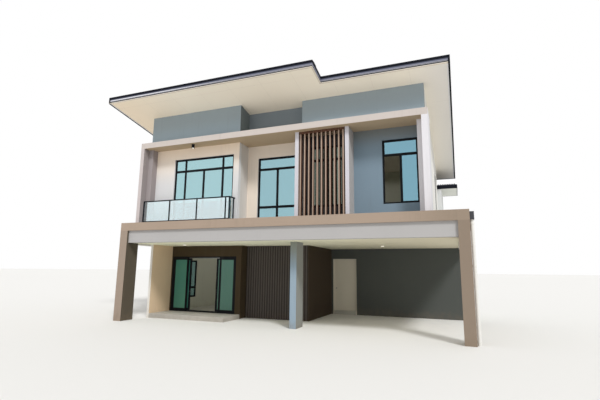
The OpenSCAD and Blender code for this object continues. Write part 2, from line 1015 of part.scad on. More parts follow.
// Ribs down the slope, from a flat flashing along the high edges to the rear
module roof_ribs() {
    first = roof_left + flashing_w + rib_foot;
    count = floor((roof_right - flashing_w - rib_foot - first) / rib_pitch);
    for (i = [0 : count]) {
        x = first + i * rib_pitch;
        y0 = (x > roof_step - rib_pitch / 2 ? roof_front2 : roof_front) + rib_start;
        down_slope(y0, roof_back - 10, [
            [x - rib_foot / 2, -over], [x - rib_foot / 2, 0],
            [x - rib_crest / 2, rib_h], [x + rib_crest / 2, rib_h],
            [x + rib_foot / 2, 0], [x + rib_foot / 2, -over]
        ]);
    }
}

module roof_sheet() {
    color(frame_dark) site() {
        roof_layer(roof_t - sheet_t, roof_t) roof_plan();
        roof_ribs();
    }
}

module soffit() {
    color(cream) site() roof_layer(0, roof_t - sheet_t)
        roof_plan(fascia_t, barge_t);
}

module front_fascia() {
    color(blue_grey) site() roof_layer(band_bottom, band_bottom + band_height)
        front_board(14);
}

module fascia_strip() {
    color(cream) site() {
        roof_layer(drip_h, drip_h + strip_h) front_board(24);
        roof_layer(-side_strip_t, 0)
            side_board(barge_t, barge_t + side_strip_w, fascia_t);
    }
}

module edge_trim() {
    color(frame_dark) site() {
        roof_layer(0, drip_h) front_board(6);
        roof_layer(-barge_drop, roof_t - sheet_t) side_board(0, barge_t);
    }
}

// Rear wing
wing_board_t = 28;
wing_deck_h = 137;
wing_fall = 0.03;
tile_pitch = 100;
tile_h = 40;

// The wing's room, open to the house; the front may be moved forward
module wing_room(front = house_back) {
    polygon([
        [wing_left + wall_t, front], [house_right - wall_t, front],
        [house_right - wall_t, house_back + wall_t],
        [wing_right - wall_t, house_back + wall_t],
        [wing_right - wall_t, wing_back - wall_t],
        [wing_left + wall_t, wing_back - wall_t]
    ]);
}

module rear_wing_walls() {
    color(cream) site() difference() {
        linear_extrude(wing_z) difference() {
            translate([wing_left, house_back])
                square([wing_right - wing_left, wing_back - house_back]);
            wing_room(house_back - over);
        }
        for (x = wing_windows_x, w = [low_window, wing_window])
            block(x, x + w[2], wing_back - wall_t - over, wing_back + over,
                  w[1], w[1] + w[3]);
    }
}

module rear_wing_soffit() {
    color(cream) site()
        block(wing_left - wing_over, wing_right + wing_over,
              house_back, wing_roof_back, wing_z, wing_z + wing_board_t);
}

// A deck that falls to the rear, under a roof of ribbed sheets
module rear_wing_roof() {
    width = wing_right - wing_left + 2 * wing_over;
    depth = wing_roof_back - house_back;
    count = floor(width / tile_pitch) - 1;
    ribs = [for (i = [0 : count]) let (x = i * tile_pitch) each [
        [x, 0], [x + 18, tile_h], [x + 58, tile_h], [x + 76, 0]
    ]];
    color(frame_dark) site()
        translate([wing_left - wing_over, house_back, wing_z + wing_board_t]) {
            rotate([90, 0, 90]) linear_extrude(width) polygon([
                [0, 0], [depth, 0], [depth, wing_deck_h - wing_fall * depth],
                [0, wing_deck_h]
            ]);
            intersection() {
                cube([width, depth, wing_deck_h + tile_h]);
                translate([0, -over, wing_deck_h + wing_fall * over])
                    rotate([90 - atan(wing_fall), 0, 0]) mirror([0, 0, 1])
                    linear_extrude(depth + 3 * over) polygon(concat(
                        [[0, -sheet_t / 2]], ribs,
                        [[width, 0], [width, -sheet_t / 2]]
                    ));
            }
        }
}

// Rainwater and small fittings
gutter_z = 3140;
gutter_y = 100;
gutter_t = 12;
pipe_d = 90;
pipe_y = 180;

// An open box gutter along the carport roof
module gutter() {
    color(dark_grey) site() difference() {
        block(portal_w, portal_w + gutter_w, gutter_y, carport_back,
              gutter_z, upper_z);
        block(portal_w + gutter_t, portal_w + gutter_w - gutter_t,
              gutter_y + gutter_t, carport_back - gutter_t,
              gutter_z + gutter_t, upper_z + over);
    }
}

module downpipe() {
    color(cream) site() translate([portal_w + gutter_w / 2, pipe_y, 0])
        cylinder(d = pipe_d, h = gutter_z, $fn = 32);
}

// A round fitting that hangs from z = 0, with a recess for its lamp
module round_lamp(d, h, rim, recess) {
    translate([0, 0, -h]) difference() {
        cylinder(d = d, h = h, $fn = 48);
        translate([0, 0, -over])
            cylinder(d = d - 2 * rim, h = over + recess, $fn = 48);
    }
}

module spot_lamp() {
    color(frame_dark) site() translate([2310, 820, frame_z])
        round_lamp(110, 150, 8, 30);
}

module ceiling_lights() {
    color(cream) site() for (at = [[1620, 1580], [8730, 3680]])
        translate([at[0], at[1], ceiling_z]) round_lamp(170, 12, 18, 6);
}

ground_floor();
terrace_slab();
left_wall_ground();
terrace_wall();
terrace_wall_top();
entry_wall();
entry_return_wall();
entry_cladding();
return_cladding();
carport_wall();
carport_wall_top();
right_wall_ground();
rear_wall_ground();
column();
portal_legs();
portal_band();
front_beam();
side_beams();
ceiling();
upper_floor();
bay_wall();
bay_returns();
middle_wall();
right_bay_wall();
left_wall_upper();
right_wall_upper();
rear_wall_upper();
upper_band();
frame_slab();
frame_uprights();
screen_fins();
slat_screen();
balustrade();
balustrade_glass();
front_window_frames();
front_window_glass();
side_window_frames();
side_window_glass();
sliding_door_frame();
sliding_door_glass();
left_leaf();
left_leaf_glass();
right_leaf();
right_leaf_glass();
door_frame();
carport_door();
roof_sheet();
soffit();
front_fascia();
fascia_strip();
edge_trim();
rear_wing_walls();
rear_wing_roof();
rear_wing_soffit();
gutter();
downpipe();
spot_lamp();
ceiling_lights();
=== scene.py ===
"""Looks of the detached house: its finishes, roof sheets, window beads, fittings, light and camera."""

from __future__ import annotations

import json
import logging
import math
from dataclasses import dataclass
from enum import Enum
from typing import Callable, Sequence

import bmesh
import bpy
from mathutils import Matrix, Vector

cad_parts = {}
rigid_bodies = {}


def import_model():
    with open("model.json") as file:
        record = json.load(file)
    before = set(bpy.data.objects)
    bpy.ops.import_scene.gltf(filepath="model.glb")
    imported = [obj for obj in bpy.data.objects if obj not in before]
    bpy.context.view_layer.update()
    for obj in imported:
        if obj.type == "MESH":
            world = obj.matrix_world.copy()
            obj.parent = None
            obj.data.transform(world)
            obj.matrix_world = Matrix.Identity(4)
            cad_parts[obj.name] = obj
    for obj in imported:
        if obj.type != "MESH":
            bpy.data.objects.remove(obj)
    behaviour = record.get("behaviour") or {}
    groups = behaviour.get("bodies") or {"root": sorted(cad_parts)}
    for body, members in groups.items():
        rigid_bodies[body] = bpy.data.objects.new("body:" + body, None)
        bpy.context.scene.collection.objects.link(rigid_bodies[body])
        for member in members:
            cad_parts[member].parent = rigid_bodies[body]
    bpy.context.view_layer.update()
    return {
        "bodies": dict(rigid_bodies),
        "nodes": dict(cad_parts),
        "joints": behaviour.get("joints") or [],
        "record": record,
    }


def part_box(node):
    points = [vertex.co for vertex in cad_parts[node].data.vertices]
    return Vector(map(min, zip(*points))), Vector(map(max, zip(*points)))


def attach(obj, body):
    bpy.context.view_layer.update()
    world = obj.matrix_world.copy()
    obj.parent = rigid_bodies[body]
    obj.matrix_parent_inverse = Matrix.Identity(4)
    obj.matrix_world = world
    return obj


log = logging.getLogger("house")

Rgb = tuple[int, int, int]
Point = tuple[float, float, float]
Profile = Sequence[tuple[float, float]]
HOUSE = "house"
SHARP_ANGLE = 40

# Colours that several finishes share
PLASTER: Rgb = (222, 222, 204)
RAIN_MARK: Rgb = (96, 92, 84)
SOIL: Rgb = (124, 108, 88)
DUST: Rgb = (150, 142, 130)
METAL_MARK: Rgb = (92, 90, 86)
METAL_DUST: Rgb = (142, 136, 126)
PANE_DIRT: Rgb = (190, 186, 176)
# Painted shade: the warm brownish undersides of the frame stand for the shade and the warm bounce light under
# the slab
PAINTED_UNDERSIDE_SHADE: Rgb = (188, 168, 140)
# Painted light: the pale cool tone of the right-facing faces at the frame's right end stands for the sun on
# them
PAINTED_LIT_FRAME_END: Rgb = (212, 212, 216)
TRIM_DARK: Rgb = (22, 25, 33)
# Painted shade: a dark line along the foot of the roof's edge, where the gap under the fascia strip lies in
# shade; on the dark trim it is close to the trim's own colour
PAINTED_SHADOW_LINE: Rgb = (30, 28, 30)
# Painted reflection: the lavender sheen of the fascia's lower part and of its step sides, where it mirrors
# the bright ground
PAINTED_FASCIA_SHEEN: Rgb = (142, 143, 158)

# Where one paint or patch of painted light and shade of a finish gives way to the next, in metres
EVERYWHERE = -100.0
SHARP = 0.001
RIGHT_LEG_X = 5.0
RIGHT_UPRIGHT_X = 4.8
UPRIGHT_RECESS_Y = -4.2
TRIM_END_X = 5.938

# Directions that count height over the sloping roof, the second slanted along X so that the painted sunlit
# strip on the fascia narrows to the right, and the soffit's height
ROOF_SLOPE: Point = (0.0, 0.19, 1.0)
PAINTED_SUNLIGHT_SLANT: Point = (0.012, 0.19, 1.0)
SOFFIT_LEVEL = 7.0661


class Side(Enum):
    """The way a face looks, as its outward direction."""

    LEFT = (-1.0, 0.0, 0.0)
    RIGHT = (1.0, 0.0, 0.0)
    FRONT = (0.0, -1.0, 0.0)
    BACK = (0.0, 1.0, 0.0)
    DOWN = (0.0, 0.0, -1.0)
    UP = (0.0, 0.0, 1.0)


class Axis(Enum):
    """The direction in which a length or a thickness is counted."""

    X = 0
    Y = 1
    Z = 2


def linear(colour: Rgb) -> tuple[float, float, float, float]:
    """Turns an 8-bit screen colour into the linear colour that a shader takes.

    Args:
        colour: Red, green and blue from 0 to 255.

    Returns:
        Red, green, blue and an alpha of 1.
    """
    parts = [c / 255 for c in colour]
    line = [p / 12.92 if p <= 0.04045 else ((p + 0.055) / 1.055) ** 2.4 for p in parts]
    return (line[0], line[1], line[2], 1.0)


class Wiring:
    """Short calls that add and join the nodes of one tree."""

    def __init__(self, tree: bpy.types.NodeTree) -> None:
        """Keeps the tree.

        Args:
            tree: The node tree of a material, a world or a group.
        """
        self.tree = tree

    def feed(self, socket: bpy.types.NodeSocket, value: object) -> None:
        """Links a socket to another, or gives it a constant.

        Args:
            socket: The input.
            value: An output socket, a number or a tuple.
        """
        if isinstance(value, bpy.types.NodeSocket):
            self.tree.links.new(value, socket)
        else:
            socket.default_value = value

    def add(self, kind: str, settings: dict | None = None, sockets: dict | None = None) -> bpy.types.Node:
        """Adds a node.

        Args:
            kind: Blender's name of the node type.
            settings: The node's own properties.
            sockets: Values or links for its inputs, by name or number.

        Returns:
            The new node.
        """
        node = self.tree.nodes.new(kind)
        for key, value in (settings or {}).items():
            setattr(node, key, value)
        for key, value in (sockets or {}).items():
            self.feed(node.inputs[key], value)
        return node

    def math(self, operation: str, first: object, second: object) -> bpy.types.NodeSocket:
        """Gives the result of one sum of two values."""
        return self.add("ShaderNodeMath", {"operation": operation}, {0: first, 1: second}).outputs[0]

    def times(self, first: object, second: object) -> bpy.types.NodeSocket:
        """Multiplies two values."""
        return self.math("MULTIPLY", first, second)

    def plus(self, first: object, second: object) -> bpy.types.NodeSocket:
        """Adds two values."""
        return self.math("ADD", first, second)

    def minus(self, first: object, second: object) -> bpy.types.NodeSocket:
        """Takes the second value from the first."""
        return self.math("SUBTRACT", first, second)

    def step(self, value: object, low: float, high: float) -> bpy.types.NodeSocket:
        """Maps a value smoothly to 0 at low and to 1 at high.

        Args:
            value: The value that is mapped.
            low: Where the result is 0.
            high: Where the result is 1.

        Returns:
            The mapped value.
        """
        sockets = {"Value": value, "From Min": low, "From Max": high}
        return self.add("ShaderNodeMapRange", {"interpolation_type": "SMOOTHSTEP"}, sockets).outputs[0]

    def mix(self, factor: object, first: object, second: object, blend: str = "MIX") -> bpy.types.NodeSocket:
        """Mixes two colours.

        Args:
            factor: Share of the second colour.
            first: The first colour.
            second: The second colour.
            blend: Blender's name of the blending.

        Returns:
            The mixed colour.
        """
        node = self.add("ShaderNodeMix", {"data_type": "RGBA", "blend_type": blend})
        self.feed(node.inputs[0], factor)
        self.feed(node.inputs[6], first)
        self.feed(node.inputs[7], second)
        return node.outputs[2]

    def place(self, stretch: Point = (1.0, 1.0, 1.0)) -> bpy.types.NodeSocket:
        """Gives the place on the object in metres, stretched by a factor for each axis."""
        here = self.add("ShaderNodeTexCoord").outputs["Object"]
        return self.add("ShaderNodeVectorMath", {"operation": "MULTIPLY"}, {0: here, 1: stretch}).outputs[0]

    def noise(self, where: object, scale: object, detail: float = 3.0) -> bpy.types.NodeSocket:
        """Gives a noise from 0 to 1.

        Args:
            where: The place that the noise is read at.
            scale: Waves for each metre.
            detail: Octaves of finer noise.

        Returns:
            The noise.
        """
        sockets = {"Vector": where, "Scale": scale, "Detail": detail}
        return self.add("ShaderNodeTexNoise", None, sockets).outputs[0]

    def parts(self, vector: object) -> bpy.types.NodeOutputs:
        """Splits a vector into its three parts."""
        return self.add("ShaderNodeSeparateXYZ", None, {0: vector}).outputs

    def dot(self, first: object, second: object) -> bpy.types.NodeSocket:
        """Gives the dot product of two vectors."""
        node = self.add("ShaderNodeVectorMath", {"operation": "DOT_PRODUCT"}, {0: first, 1: second})
        return node.outputs["Value"]


class Effect(Enum):
    """The shader node groups that several finishes share."""

    GRAIN = "render_grain"
    STREAKS = "rain_streaks"
    SPLASH = "ground_splash"
    DUST = "settled_dust"
    FACING = "faces_one_way"
    JOINTS = "joint_lines"
    TIMBER = "timber_grain"
    COAT = "powder_coat"


class EffectShelf:
    """Builds each shared effect once and places it in materials."""

    def __init__(self) -> None:
        """Starts with no effect built."""
        self.built: dict[Effect, bpy.types.NodeTree] = {}
        self.makers: dict[Effect, Callable[[], bpy.types.NodeTree]] = {
            Effect.GRAIN: self.render_grain,
            Effect.STREAKS: self.rain_streaks,
            Effect.SPLASH: self.ground_splash,
            Effect.DUST: self.settled_dust,
            Effect.FACING: self.faces_one_way,
            Effect.JOINTS: self.joint_lines,
            Effect.TIMBER: self.timber_grain,
            Effect.COAT: self.powder_coat,
        }

    def put(self, wire: Wiring, effect: Effect, sockets: dict | None = None) -> bpy.types.NodeOutputs:
        """Places an effect in a material.

        Args:
            wire: The material's wiring.
            effect: Which effect.
            sockets: Values or links for its inputs.

        Returns:
            The effect's outputs.
        """
        if effect not in self.built:
            self.built[effect] = self.makers[effect]()
        node = wire.add("ShaderNodeGroup", {"node_tree": self.built[effect]}, sockets)
        return node.outputs

    @staticmethod
    def group(effect: Effect, inputs: dict[str, object], outputs: Sequence[str]) -> tuple:
        """Makes an empty group with its sockets.

        Args:
            effect: The effect that the group holds.
            inputs: Each input's name and first value, a number or a vector.
            outputs: The names of its outputs, all plain values.

        Returns:
            The group's wiring, its input node and its output node.
        """
        tree = bpy.data.node_groups.new(effect.value, "ShaderNodeTree")
        for name, value in inputs.items():
            kind = "NodeSocketVector" if isinstance(value, tuple) else "NodeSocketFloat"
            tree.interface.new_socket(name, in_out="INPUT", socket_type=kind).default_value = value
        for name in outputs:
            tree.interface.new_socket(name, in_out="OUTPUT", socket_type="NodeSocketFloat")
        wire = Wiring(tree)
        return wire, wire.add("NodeGroupInput").outputs, wire.add("NodeGroupOutput").inputs

    def render_grain(self) -> bpy.types.NodeTree:
        """Sanded render under paint: fine grain, trowel marks and faint cloudy tone.

        Returns:
            The tree of the node group.
        """
        wire, given, out = self.group(Effect.GRAIN, {"Scale": 1.0, "Mottle": 0.04}, ("Shade", "Height"))
        fine = wire.noise(wire.place(), wire.times(given["Scale"], 260.0), 4.0)
        trowel = wire.noise(wire.place((1.0, 1.0, 1.6)), wire.times(given["Scale"], 9.0), 4.0)
        cloud = wire.noise(wire.place((1.0, 1.0, 0.6)), 0.9, 5.0)
        tone = wire.plus(wire.times(cloud, 1.4), wire.times(trowel, 0.6))
        swing = wire.times(wire.minus(tone, 1.0), given["Mottle"])
        wire.feed(out["Shade"], wire.plus(swing, 1.0))
        wire.feed(out["Height"], wire.plus(wire.times(fine, 0.35), wire.times(trowel, 0.65)))
        return wire.tree

    def rain_streaks(self) -> bpy.types.NodeTree:
        """Faint streaks that rain washes down a wall, broken up along their length.

        Returns:
            The tree of the node group.
        """
        wire, given, out = self.group(Effect.STREAKS, {"Amount": 0.1}, ("Mask",))
        narrow = wire.step(wire.noise(wire.place((1.0, 1.0, 0.06)), 11.0, 4.0), 0.50, 0.78)
        patches = wire.step(wire.noise(wire.place((1.0, 1.0, 0.5)), 1.3, 2.0), 0.42, 0.70)
        wire.feed(out["Mask"], wire.times(wire.times(narrow, patches), given["Amount"]))
        return wire.tree

    def ground_splash(self) -> bpy.types.NodeTree:
        """Soil that rain throws against the foot of a wall.

        Returns:
            The tree of the node group.
        """
        wire, given, out = self.group(Effect.SPLASH, {"Reach": 0.35, "Amount": 0.3}, ("Mask",))
        height = wire.parts(wire.place())[2]
        ragged = wire.times(wire.noise(wire.place(), 7.0, 4.0), given["Reach"])
        low = wire.minus(wire.times(ragged, 2.0), height)
        wire.feed(out["Mask"], wire.times(wire.step(low, -0.05, 0.45), given["Amount"]))
        return wire.tree

    def settled_dust(self) -> bpy.types.NodeTree:
        """Dust on faces that look up.

        Returns:
            The tree of the node group.
        """
        wire, given, out = self.group(Effect.DUST, {"Amount": 0.3}, ("Mask",))
        normal = wire.add("ShaderNodeNewGeometry").outputs["Normal"]
        up = wire.step(wire.dot(normal, Side.UP.value), 0.5, 0.95)
        patchy = wire.step(wire.noise(wire.place(), 3.0, 5.0), 0.3, 0.8)
        wire.feed(out["Mask"], wire.times(wire.times(up, patchy), given["Amount"]))
        return wire.tree

    def faces_one_way(self) -> bpy.types.NodeTree:
        """One on the faces that look in a direction and lie past a place, and else zero.

        Returns:
            The tree of the node group.
        """
        inputs = {"Direction": Side.UP.value, "Along": Side.UP.value, "Past": EVERYWHERE, "Blur": SHARP}
        wire, given, out = self.group(Effect.FACING, inputs, ("Mask",))
        normal = wire.add("ShaderNodeNewGeometry").outputs["Normal"]
        facing = wire.step(wire.dot(normal, given["Direction"]), 0.60, 0.75)
        depth = wire.minus(wire.dot(wire.place(), given["Along"]), given["Past"])
        past = wire.step(wire.math("DIVIDE", depth, given["Blur"]), -1.0, 1.0)
        wire.feed(out["Mask"], wire.times(facing, past))
        return wire.tree

    def joint_lines(self) -> bpy.types.NodeTree:
        """Lines at a regular pitch along X and Y, as between tiles or boards.

        Returns:
            The tree of the node group.
        """
        inputs = {"Pitch X": 1.2, "Pitch Y": 2.4, "Width": 0.004}
        wire, given, out = self.group(Effect.JOINTS, inputs, ("Mask",))
        here = wire.parts(wire.place())
        lines = []
        for part, pitch in ((here[0], given["Pitch X"]), (here[1], given["Pitch Y"])):
            half_pitch = wire.times(pitch, 0.5)
            offset = wire.math("PINGPONG", part, half_pitch)
            lines.append(wire.math("LESS_THAN", offset, wire.times(given["Width"], 0.5)))
        wire.feed(out["Mask"], wire.math("MAXIMUM", lines[0], lines[1]))
        return wire.tree

    def timber_grain(self) -> bpy.types.NodeTree:
        """Wood grain that runs upright, with a tone of its own in each slat.

        Returns:
            The tree of the node group.
        """
        wire, given, out = self.group(Effect.TIMBER, {"Contrast": 0.25}, ("Shade", "Height"))
        fibre = wire.noise(wire.place((1.0, 1.0, 0.02)), 420.0, 4.0)
        figure = wire.noise(wire.place((1.0, 1.0, 0.05)), 46.0, 5.0)
        board = wire.noise(wire.place((1.0, 0.0, 0.0)), 6.5, 0.0)
        grain = wire.plus(wire.times(fibre, 0.4), wire.times(figure, 0.6))
        tone = wire.plus(wire.times(grain, 1.2), wire.times(board, 0.8))
        swing = wire.times(wire.minus(tone, 1.0), given["Contrast"])
        wire.feed(out["Shade"], wire.plus(swing, 1.0))
        wire.feed(out["Height"], grain)
        return wire.tree

    def powder_coat(self) -> bpy.types.NodeTree:
        """The fine orange peel of powder paint, and the slow change of its gloss.

        Returns:
            The tree of the node group.
        """
        wire, given, out = self.group(Effect.COAT, {"Gloss": 0.4}, ("Height", "Roughness"))
        wire.feed(out["Height"], wire.noise(wire.place(), 900.0, 2.0))
        patches = wire.times(wire.noise(wire.place(), 5.0, 3.0), 0.14)
        wire.feed(out["Roughness"], wire.minus(wire.plus(given["Gloss"], patches), 0.07))
        return wire.tree


EFFECTS = EffectShelf()


class Material:
    """A material under construction, with its Principled shader and wiring."""

    def __init__(self, name: str) -> None:
        """Makes the material.

        Args:
            name: Its name in the scene.
        """
        self.data = bpy.data.materials.new(name)
        self.data.use_nodes = True
        self.wire = Wiring(self.data.node_tree)
        self.shader = self.data.node_tree.nodes["Principled BSDF"]

    def set(self, socket: str, value: object) -> None:
        """Sets or links one socket of the shader."""
        self.wire.feed(self.shader.inputs[socket], value)

    def bump(self, height: object, distance: float, strength: float = 1.0) -> None:
        """Raises the surface by a height map.

        Args:
            height: Height from 0 to 1.
            distance: What a height of 1 is, in metres.
            strength: Share of the bump that shows.
        """
        sockets = {"Height": height, "Distance": distance, "Strength": strength}
        self.set("Normal", self.wire.add("ShaderNodeBump", None, sockets).outputs[0])

    def shaded(self, colour: object, shade: object) -> bpy.types.NodeSocket:
        """Multiplies a colour by a shade near 1."""
        grey = self.wire.add("ShaderNodeCombineColor", None, {0: shade, 1: shade, 2: shade}).outputs[0]
        return self.wire.mix(1.0, colour, grey, "MULTIPLY")


@dataclass(frozen=True)
class OtherFace:
    """A second paint on the faces of a wall that look one way; it also carries painted light and shade.

    Attributes:
        side: The way that these faces look.
        colour: Their paint, which in many finishes is painted light and shade.
        along: The direction in which the start counts.
        start: Only faces past this place, in metres, have the paint.
        blur: Half the width over which the paint sets in.
    """

    side: Side
    colour: Rgb
    along: Point = Side.UP.value
    start: float = EVERYWHERE
    blur: float = SHARP


def paints_and_painted_light(wire: Wiring, colour: Rgb, others: tuple[OtherFace, ...]) -> object:
    """Gives a paint, with other paints and painted light and shade on the faces that look other ways.

    Args:
        wire: The material's wiring.
        colour: The main paint.
        others: The other paints and the painted light and shade, of which a later one covers an earlier one.

    Returns:
        The colour, as a constant or a socket.
    """
    mixed: object = linear(colour)
    for other in others:
        where = {"Direction": other.side.value, "Along": other.along, "Past": other.start, "Blur": other.blur}
        mask = EFFECTS.put(wire, Effect.FACING, where)["Mask"]
        mixed = wire.mix(mask, mixed, linear(other.colour))
    return mixed


@dataclass(frozen=True)
class PaintedRender:
    """Cement render under masonry paint.

    Attributes:
        name: The finish's name.
        colour: The paint.
        mottle: Swing of the tone over the wall.
        streaks: Share of rain streaks.
        splash: Share of soil at the foot.
        others: Paints, and painted light and shade, on faces that look other ways.
    """

    name: str
    colour: Rgb
    mottle: float = 0.06
    streaks: float = 0.12
    splash: float = 0.25
    others: tuple[OtherFace, ...] = ()

    def make(self) -> bpy.types.Material:
        """Builds the material.

        Returns:
            The new material.
        """
        paint = Material(self.name)
        wire = paint.wire
        grain = EFFECTS.put(wire, Effect.GRAIN, {"Mottle": self.mottle})
        colour = paint.shaded(paints_and_painted_light(wire, self.colour, self.others), grain["Shade"])
        streaks = EFFECTS.put(wire, Effect.STREAKS, {"Amount": self.streaks})["Mask"]
        colour = wire.mix(streaks, colour, linear(RAIN_MARK))
        splash = EFFECTS.put(wire, Effect.SPLASH, {"Amount": self.splash})["Mask"]
        colour = wire.mix(splash, colour, linear(SOIL))
        dust = EFFECTS.put(wire, Effect.DUST, {"Amount": 0.25})["Mask"]
        paint.set("Base Color", wire.mix(dust, colour, linear(DUST)))
        paint.set("Roughness", 0.88)
        paint.set("Specular IOR Level", 0.3)
        paint.bump(grain["Height"], 0.0016, 0.7)
        return paint.data


@dataclass(frozen=True)
class PaintedBoard:
    """Flat boards with fine joints, painted.

    Attributes:
        name: The finish's name.
        colour: The paint.
        pitch: Width and length of a board in metres.
        joint: Width of a joint.
        depth: How dark the joint is, from 0 to 1.
        roughness: Roughness of the paint.
        others: Paints, and painted light and shade, on faces that look other ways.
    """

    name: str
    colour: Rgb
    pitch: tuple[float, float] = (1.2, 2.4)
    joint: float = 0.004
    depth: float = 0.25
    roughness: float = 0.7
    others: tuple[OtherFace, ...] = ()

    def make(self) -> bpy.types.Material:
        """Builds the material.

        Returns:
            The new material.
        """
        board = Material(self.name)
        wire = board.wire
        grain = EFFECTS.put(wire, Effect.GRAIN, {"Scale": 1.6, "Mottle": 0.035})
        sizes = {"Pitch X": self.pitch[0], "Pitch Y": self.pitch[1], "Width": self.joint}
        lines = EFFECTS.put(wire, Effect.JOINTS, sizes)["Mask"]
        colour = board.shaded(paints_and_painted_light(wire, self.colour, self.others), grain["Shade"])
        shade = wire.minus(1.0, wire.times(lines, self.depth))
        colour = board.shaded(colour, shade)
        dust = EFFECTS.put(wire, Effect.DUST, {"Amount": 0.3})["Mask"]
        board.set("Base Color", wire.mix(dust, colour, linear(DUST)))
        board.set("Roughness", self.roughness)
        height = wire.minus(wire.times(grain["Height"], 0.15), wire.times(lines, 0.85))
        board.bump(height, 0.003, 0.6)
        return board.data


def edge_layer(colour: Rgb, height: float, blur: float = SHARP) -> tuple[OtherFace, ...]:
    """Gives a paint for the roof's front edges above a height over the soffit; the fascia's bands of painted
    light and shade are made with it.

    Args:
        colour: The paint.
        height: Where it starts, square to the slope's level, in metres.
        blur: Half the width over which it sets in.

    Returns:
        The paint for the edges that look to the front and for the side of their step.
    """
    start = SOFFIT_LEVEL + height
    return tuple(OtherFace(side, colour, ROOF_SLOPE, start, blur) for side in (Side.FRONT, Side.RIGHT))


@dataclass(frozen=True)
class CoatedMetal:
    """Metal under powder or sheet paint.

    Attributes:
        name: The finish's name.
        colour: The paint.
        gloss: Roughness of the paint.
        dust: Share of dust on what looks up.
        metallic: How metallic the paint is.
        sheen: How strongly the paint mirrors.
        streaks: Share of pale marks of run-off rain.
        others: Paints, and painted light and shade, on faces that look other ways.
    """

    name: str
    colour: Rgb
    gloss: float = 0.42
    dust: float = 0.25
    metallic: float = 0.0
    sheen: float = 0.35
    streaks: float = 0.10
    others: tuple[OtherFace, ...] = ()

    def make(self) -> bpy.types.Material:
        """Builds the material.

        Returns:
            The new material.
        """
        metal = Material(self.name)
        wire = metal.wire
        coat = EFFECTS.put(wire, Effect.COAT, {"Gloss": self.gloss})
        streaks = EFFECTS.put(wire, Effect.STREAKS, {"Amount": self.streaks})["Mask"]
        colour = wire.mix(streaks, paints_and_painted_light(wire, self.colour, self.others), linear(METAL_MARK))
        dust = EFFECTS.put(wire, Effect.DUST, {"Amount": self.dust})["Mask"]
        metal.set("Base Color", wire.mix(dust, colour, linear(METAL_DUST)))
        metal.set("Roughness", coat["Roughness"])
        metal.set("Metallic", self.metallic)
        metal.set("Specular IOR Level", self.sheen)
        metal.bump(coat["Height"], 0.0003, 0.5)
        return metal.data


@dataclass(frozen=True)
class StainedTimber:
    """Stained slats, with painted sky light making the faces that look to the front paler.

    Attributes:
        name: The finish's name.
        stain: Colour of the stain on the sides.
        sky_lit_face: Painted light: the paler colour of the faces that look to the front, for the sky light
            on them.
        header_z: Where the header starts, whose front keeps the dark stain as painted shade under the frame
            slab.
    """

    name: str
    stain: Rgb
    sky_lit_face: Rgb
    header_z: float = 6.275

    def make(self) -> bpy.types.Material:
        """Builds the material.

        Returns:
            The new material.
        """
        wood = Material(self.name)
        wire = wood.wire
        grain = EFFECTS.put(wire, Effect.TIMBER, {"Contrast": 0.5})
        # Painted light on the fronts of the slats, and painted shade on the header's front under the frame
        # slab
        header = OtherFace(Side.FRONT, self.stain, Side.UP.value, self.header_z)
        painted_sky_light = (OtherFace(Side.FRONT, self.sky_lit_face), header)
        colour = paints_and_painted_light(wire, self.stain, painted_sky_light)
        wood.set("Base Color", wood.shaded(colour, grain["Shade"]))
        wood.set("Roughness", 0.62)
        wood.bump(grain["Height"], 0.0012, 0.8)
        return wood.data


@dataclass(frozen=True)
class WindowGlass:
    """Float glass with a tint, and a share of mirror from its coating.

    Attributes:
        name: The finish's name.
        tint: Colour of the glass and of what it mirrors.
        mirror: Share of the light that the coating mirrors.
        clear: Share of the rest that goes through.
        haze: Roughness of the pane.
        others: Tints of panes in other places, as painted reflections and shade.
    """

    name: str
    tint: Rgb
    mirror: float
    clear: float = 1.0
    haze: float = 0.02
    others: tuple[OtherFace, ...] = ()

    def make(self) -> bpy.types.Material:
        """Builds the material.

        Returns:
            The new material.
        """
        glass = Material(self.name)
        wire = glass.wire
        film = wire.step(wire.noise(wire.place(), 1.7, 4.0), 0.35, 0.75)
        soft = wire.plus(wire.times(film, 0.02), self.haze)
        dirt = wire.times(wire.noise(wire.place((1.0, 1.0, 0.3)), 14.0, 4.0), 0.05)
        tint = paints_and_painted_light(wire, self.tint, self.others)
        glass.set("Base Color", wire.mix(dirt, tint, linear(PANE_DIRT)))
        glass.set("Roughness", soft)
        glass.set("Metallic", self.mirror)
        glass.set("Transmission Weight", self.clear)
        glass.set("IOR", 1.5)
        glass.bump(wire.noise(wire.place(), 1.1, 1.0), 0.004, 0.25)
        return glass.data


@dataclass(frozen=True)
class Rubber:
    """Black glazing rubber.

    Attributes:
        name: The finish's name.
        colour: Its colour.
    """

    name: str
    colour: Rgb = (20, 20, 21)

    def make(self) -> bpy.types.Material:
        """Builds the material.

        Returns:
            The new material.
        """
        rubber = Material(self.name)
        wire = rubber.wire
        speckle = wire.plus(wire.times(wire.noise(wire.place(), 180.0, 3.0), 0.4), 0.8)
        rubber.set("Base Color", rubber.shaded(linear(self.colour), speckle))
        rubber.set("Roughness", 0.78)
        rubber.bump(wire.noise(wire.place(), 400.0, 2.0), 0.0004, 0.6)
        return rubber.data


@dataclass(frozen=True)
class LampGlow:
    """A lit diffuser.

    Attributes:
        name: The finish's name.
        colour: Colour of its light.
        strength: Strength of its light, 1 being white paper.
    """

    name: str
    colour: Rgb
    strength: float

    def make(self) -> bpy.types.Material:
        """Builds the material.

        Returns:
            The new material.
        """
        glow = Material(self.name)
        wire = glow.wire
        frost = wire.plus(wire.times(wire.noise(wire.place(), 240.0, 2.0), 0.1), 0.95)
        colour = glow.shaded(linear(self.colour), frost)
        glow.set("Base Color", colour)
        glow.set("Roughness", 0.35)
        glow.set("Emission Color", colour)
        glow.set("Emission Strength", self.strength)
        return glow.data


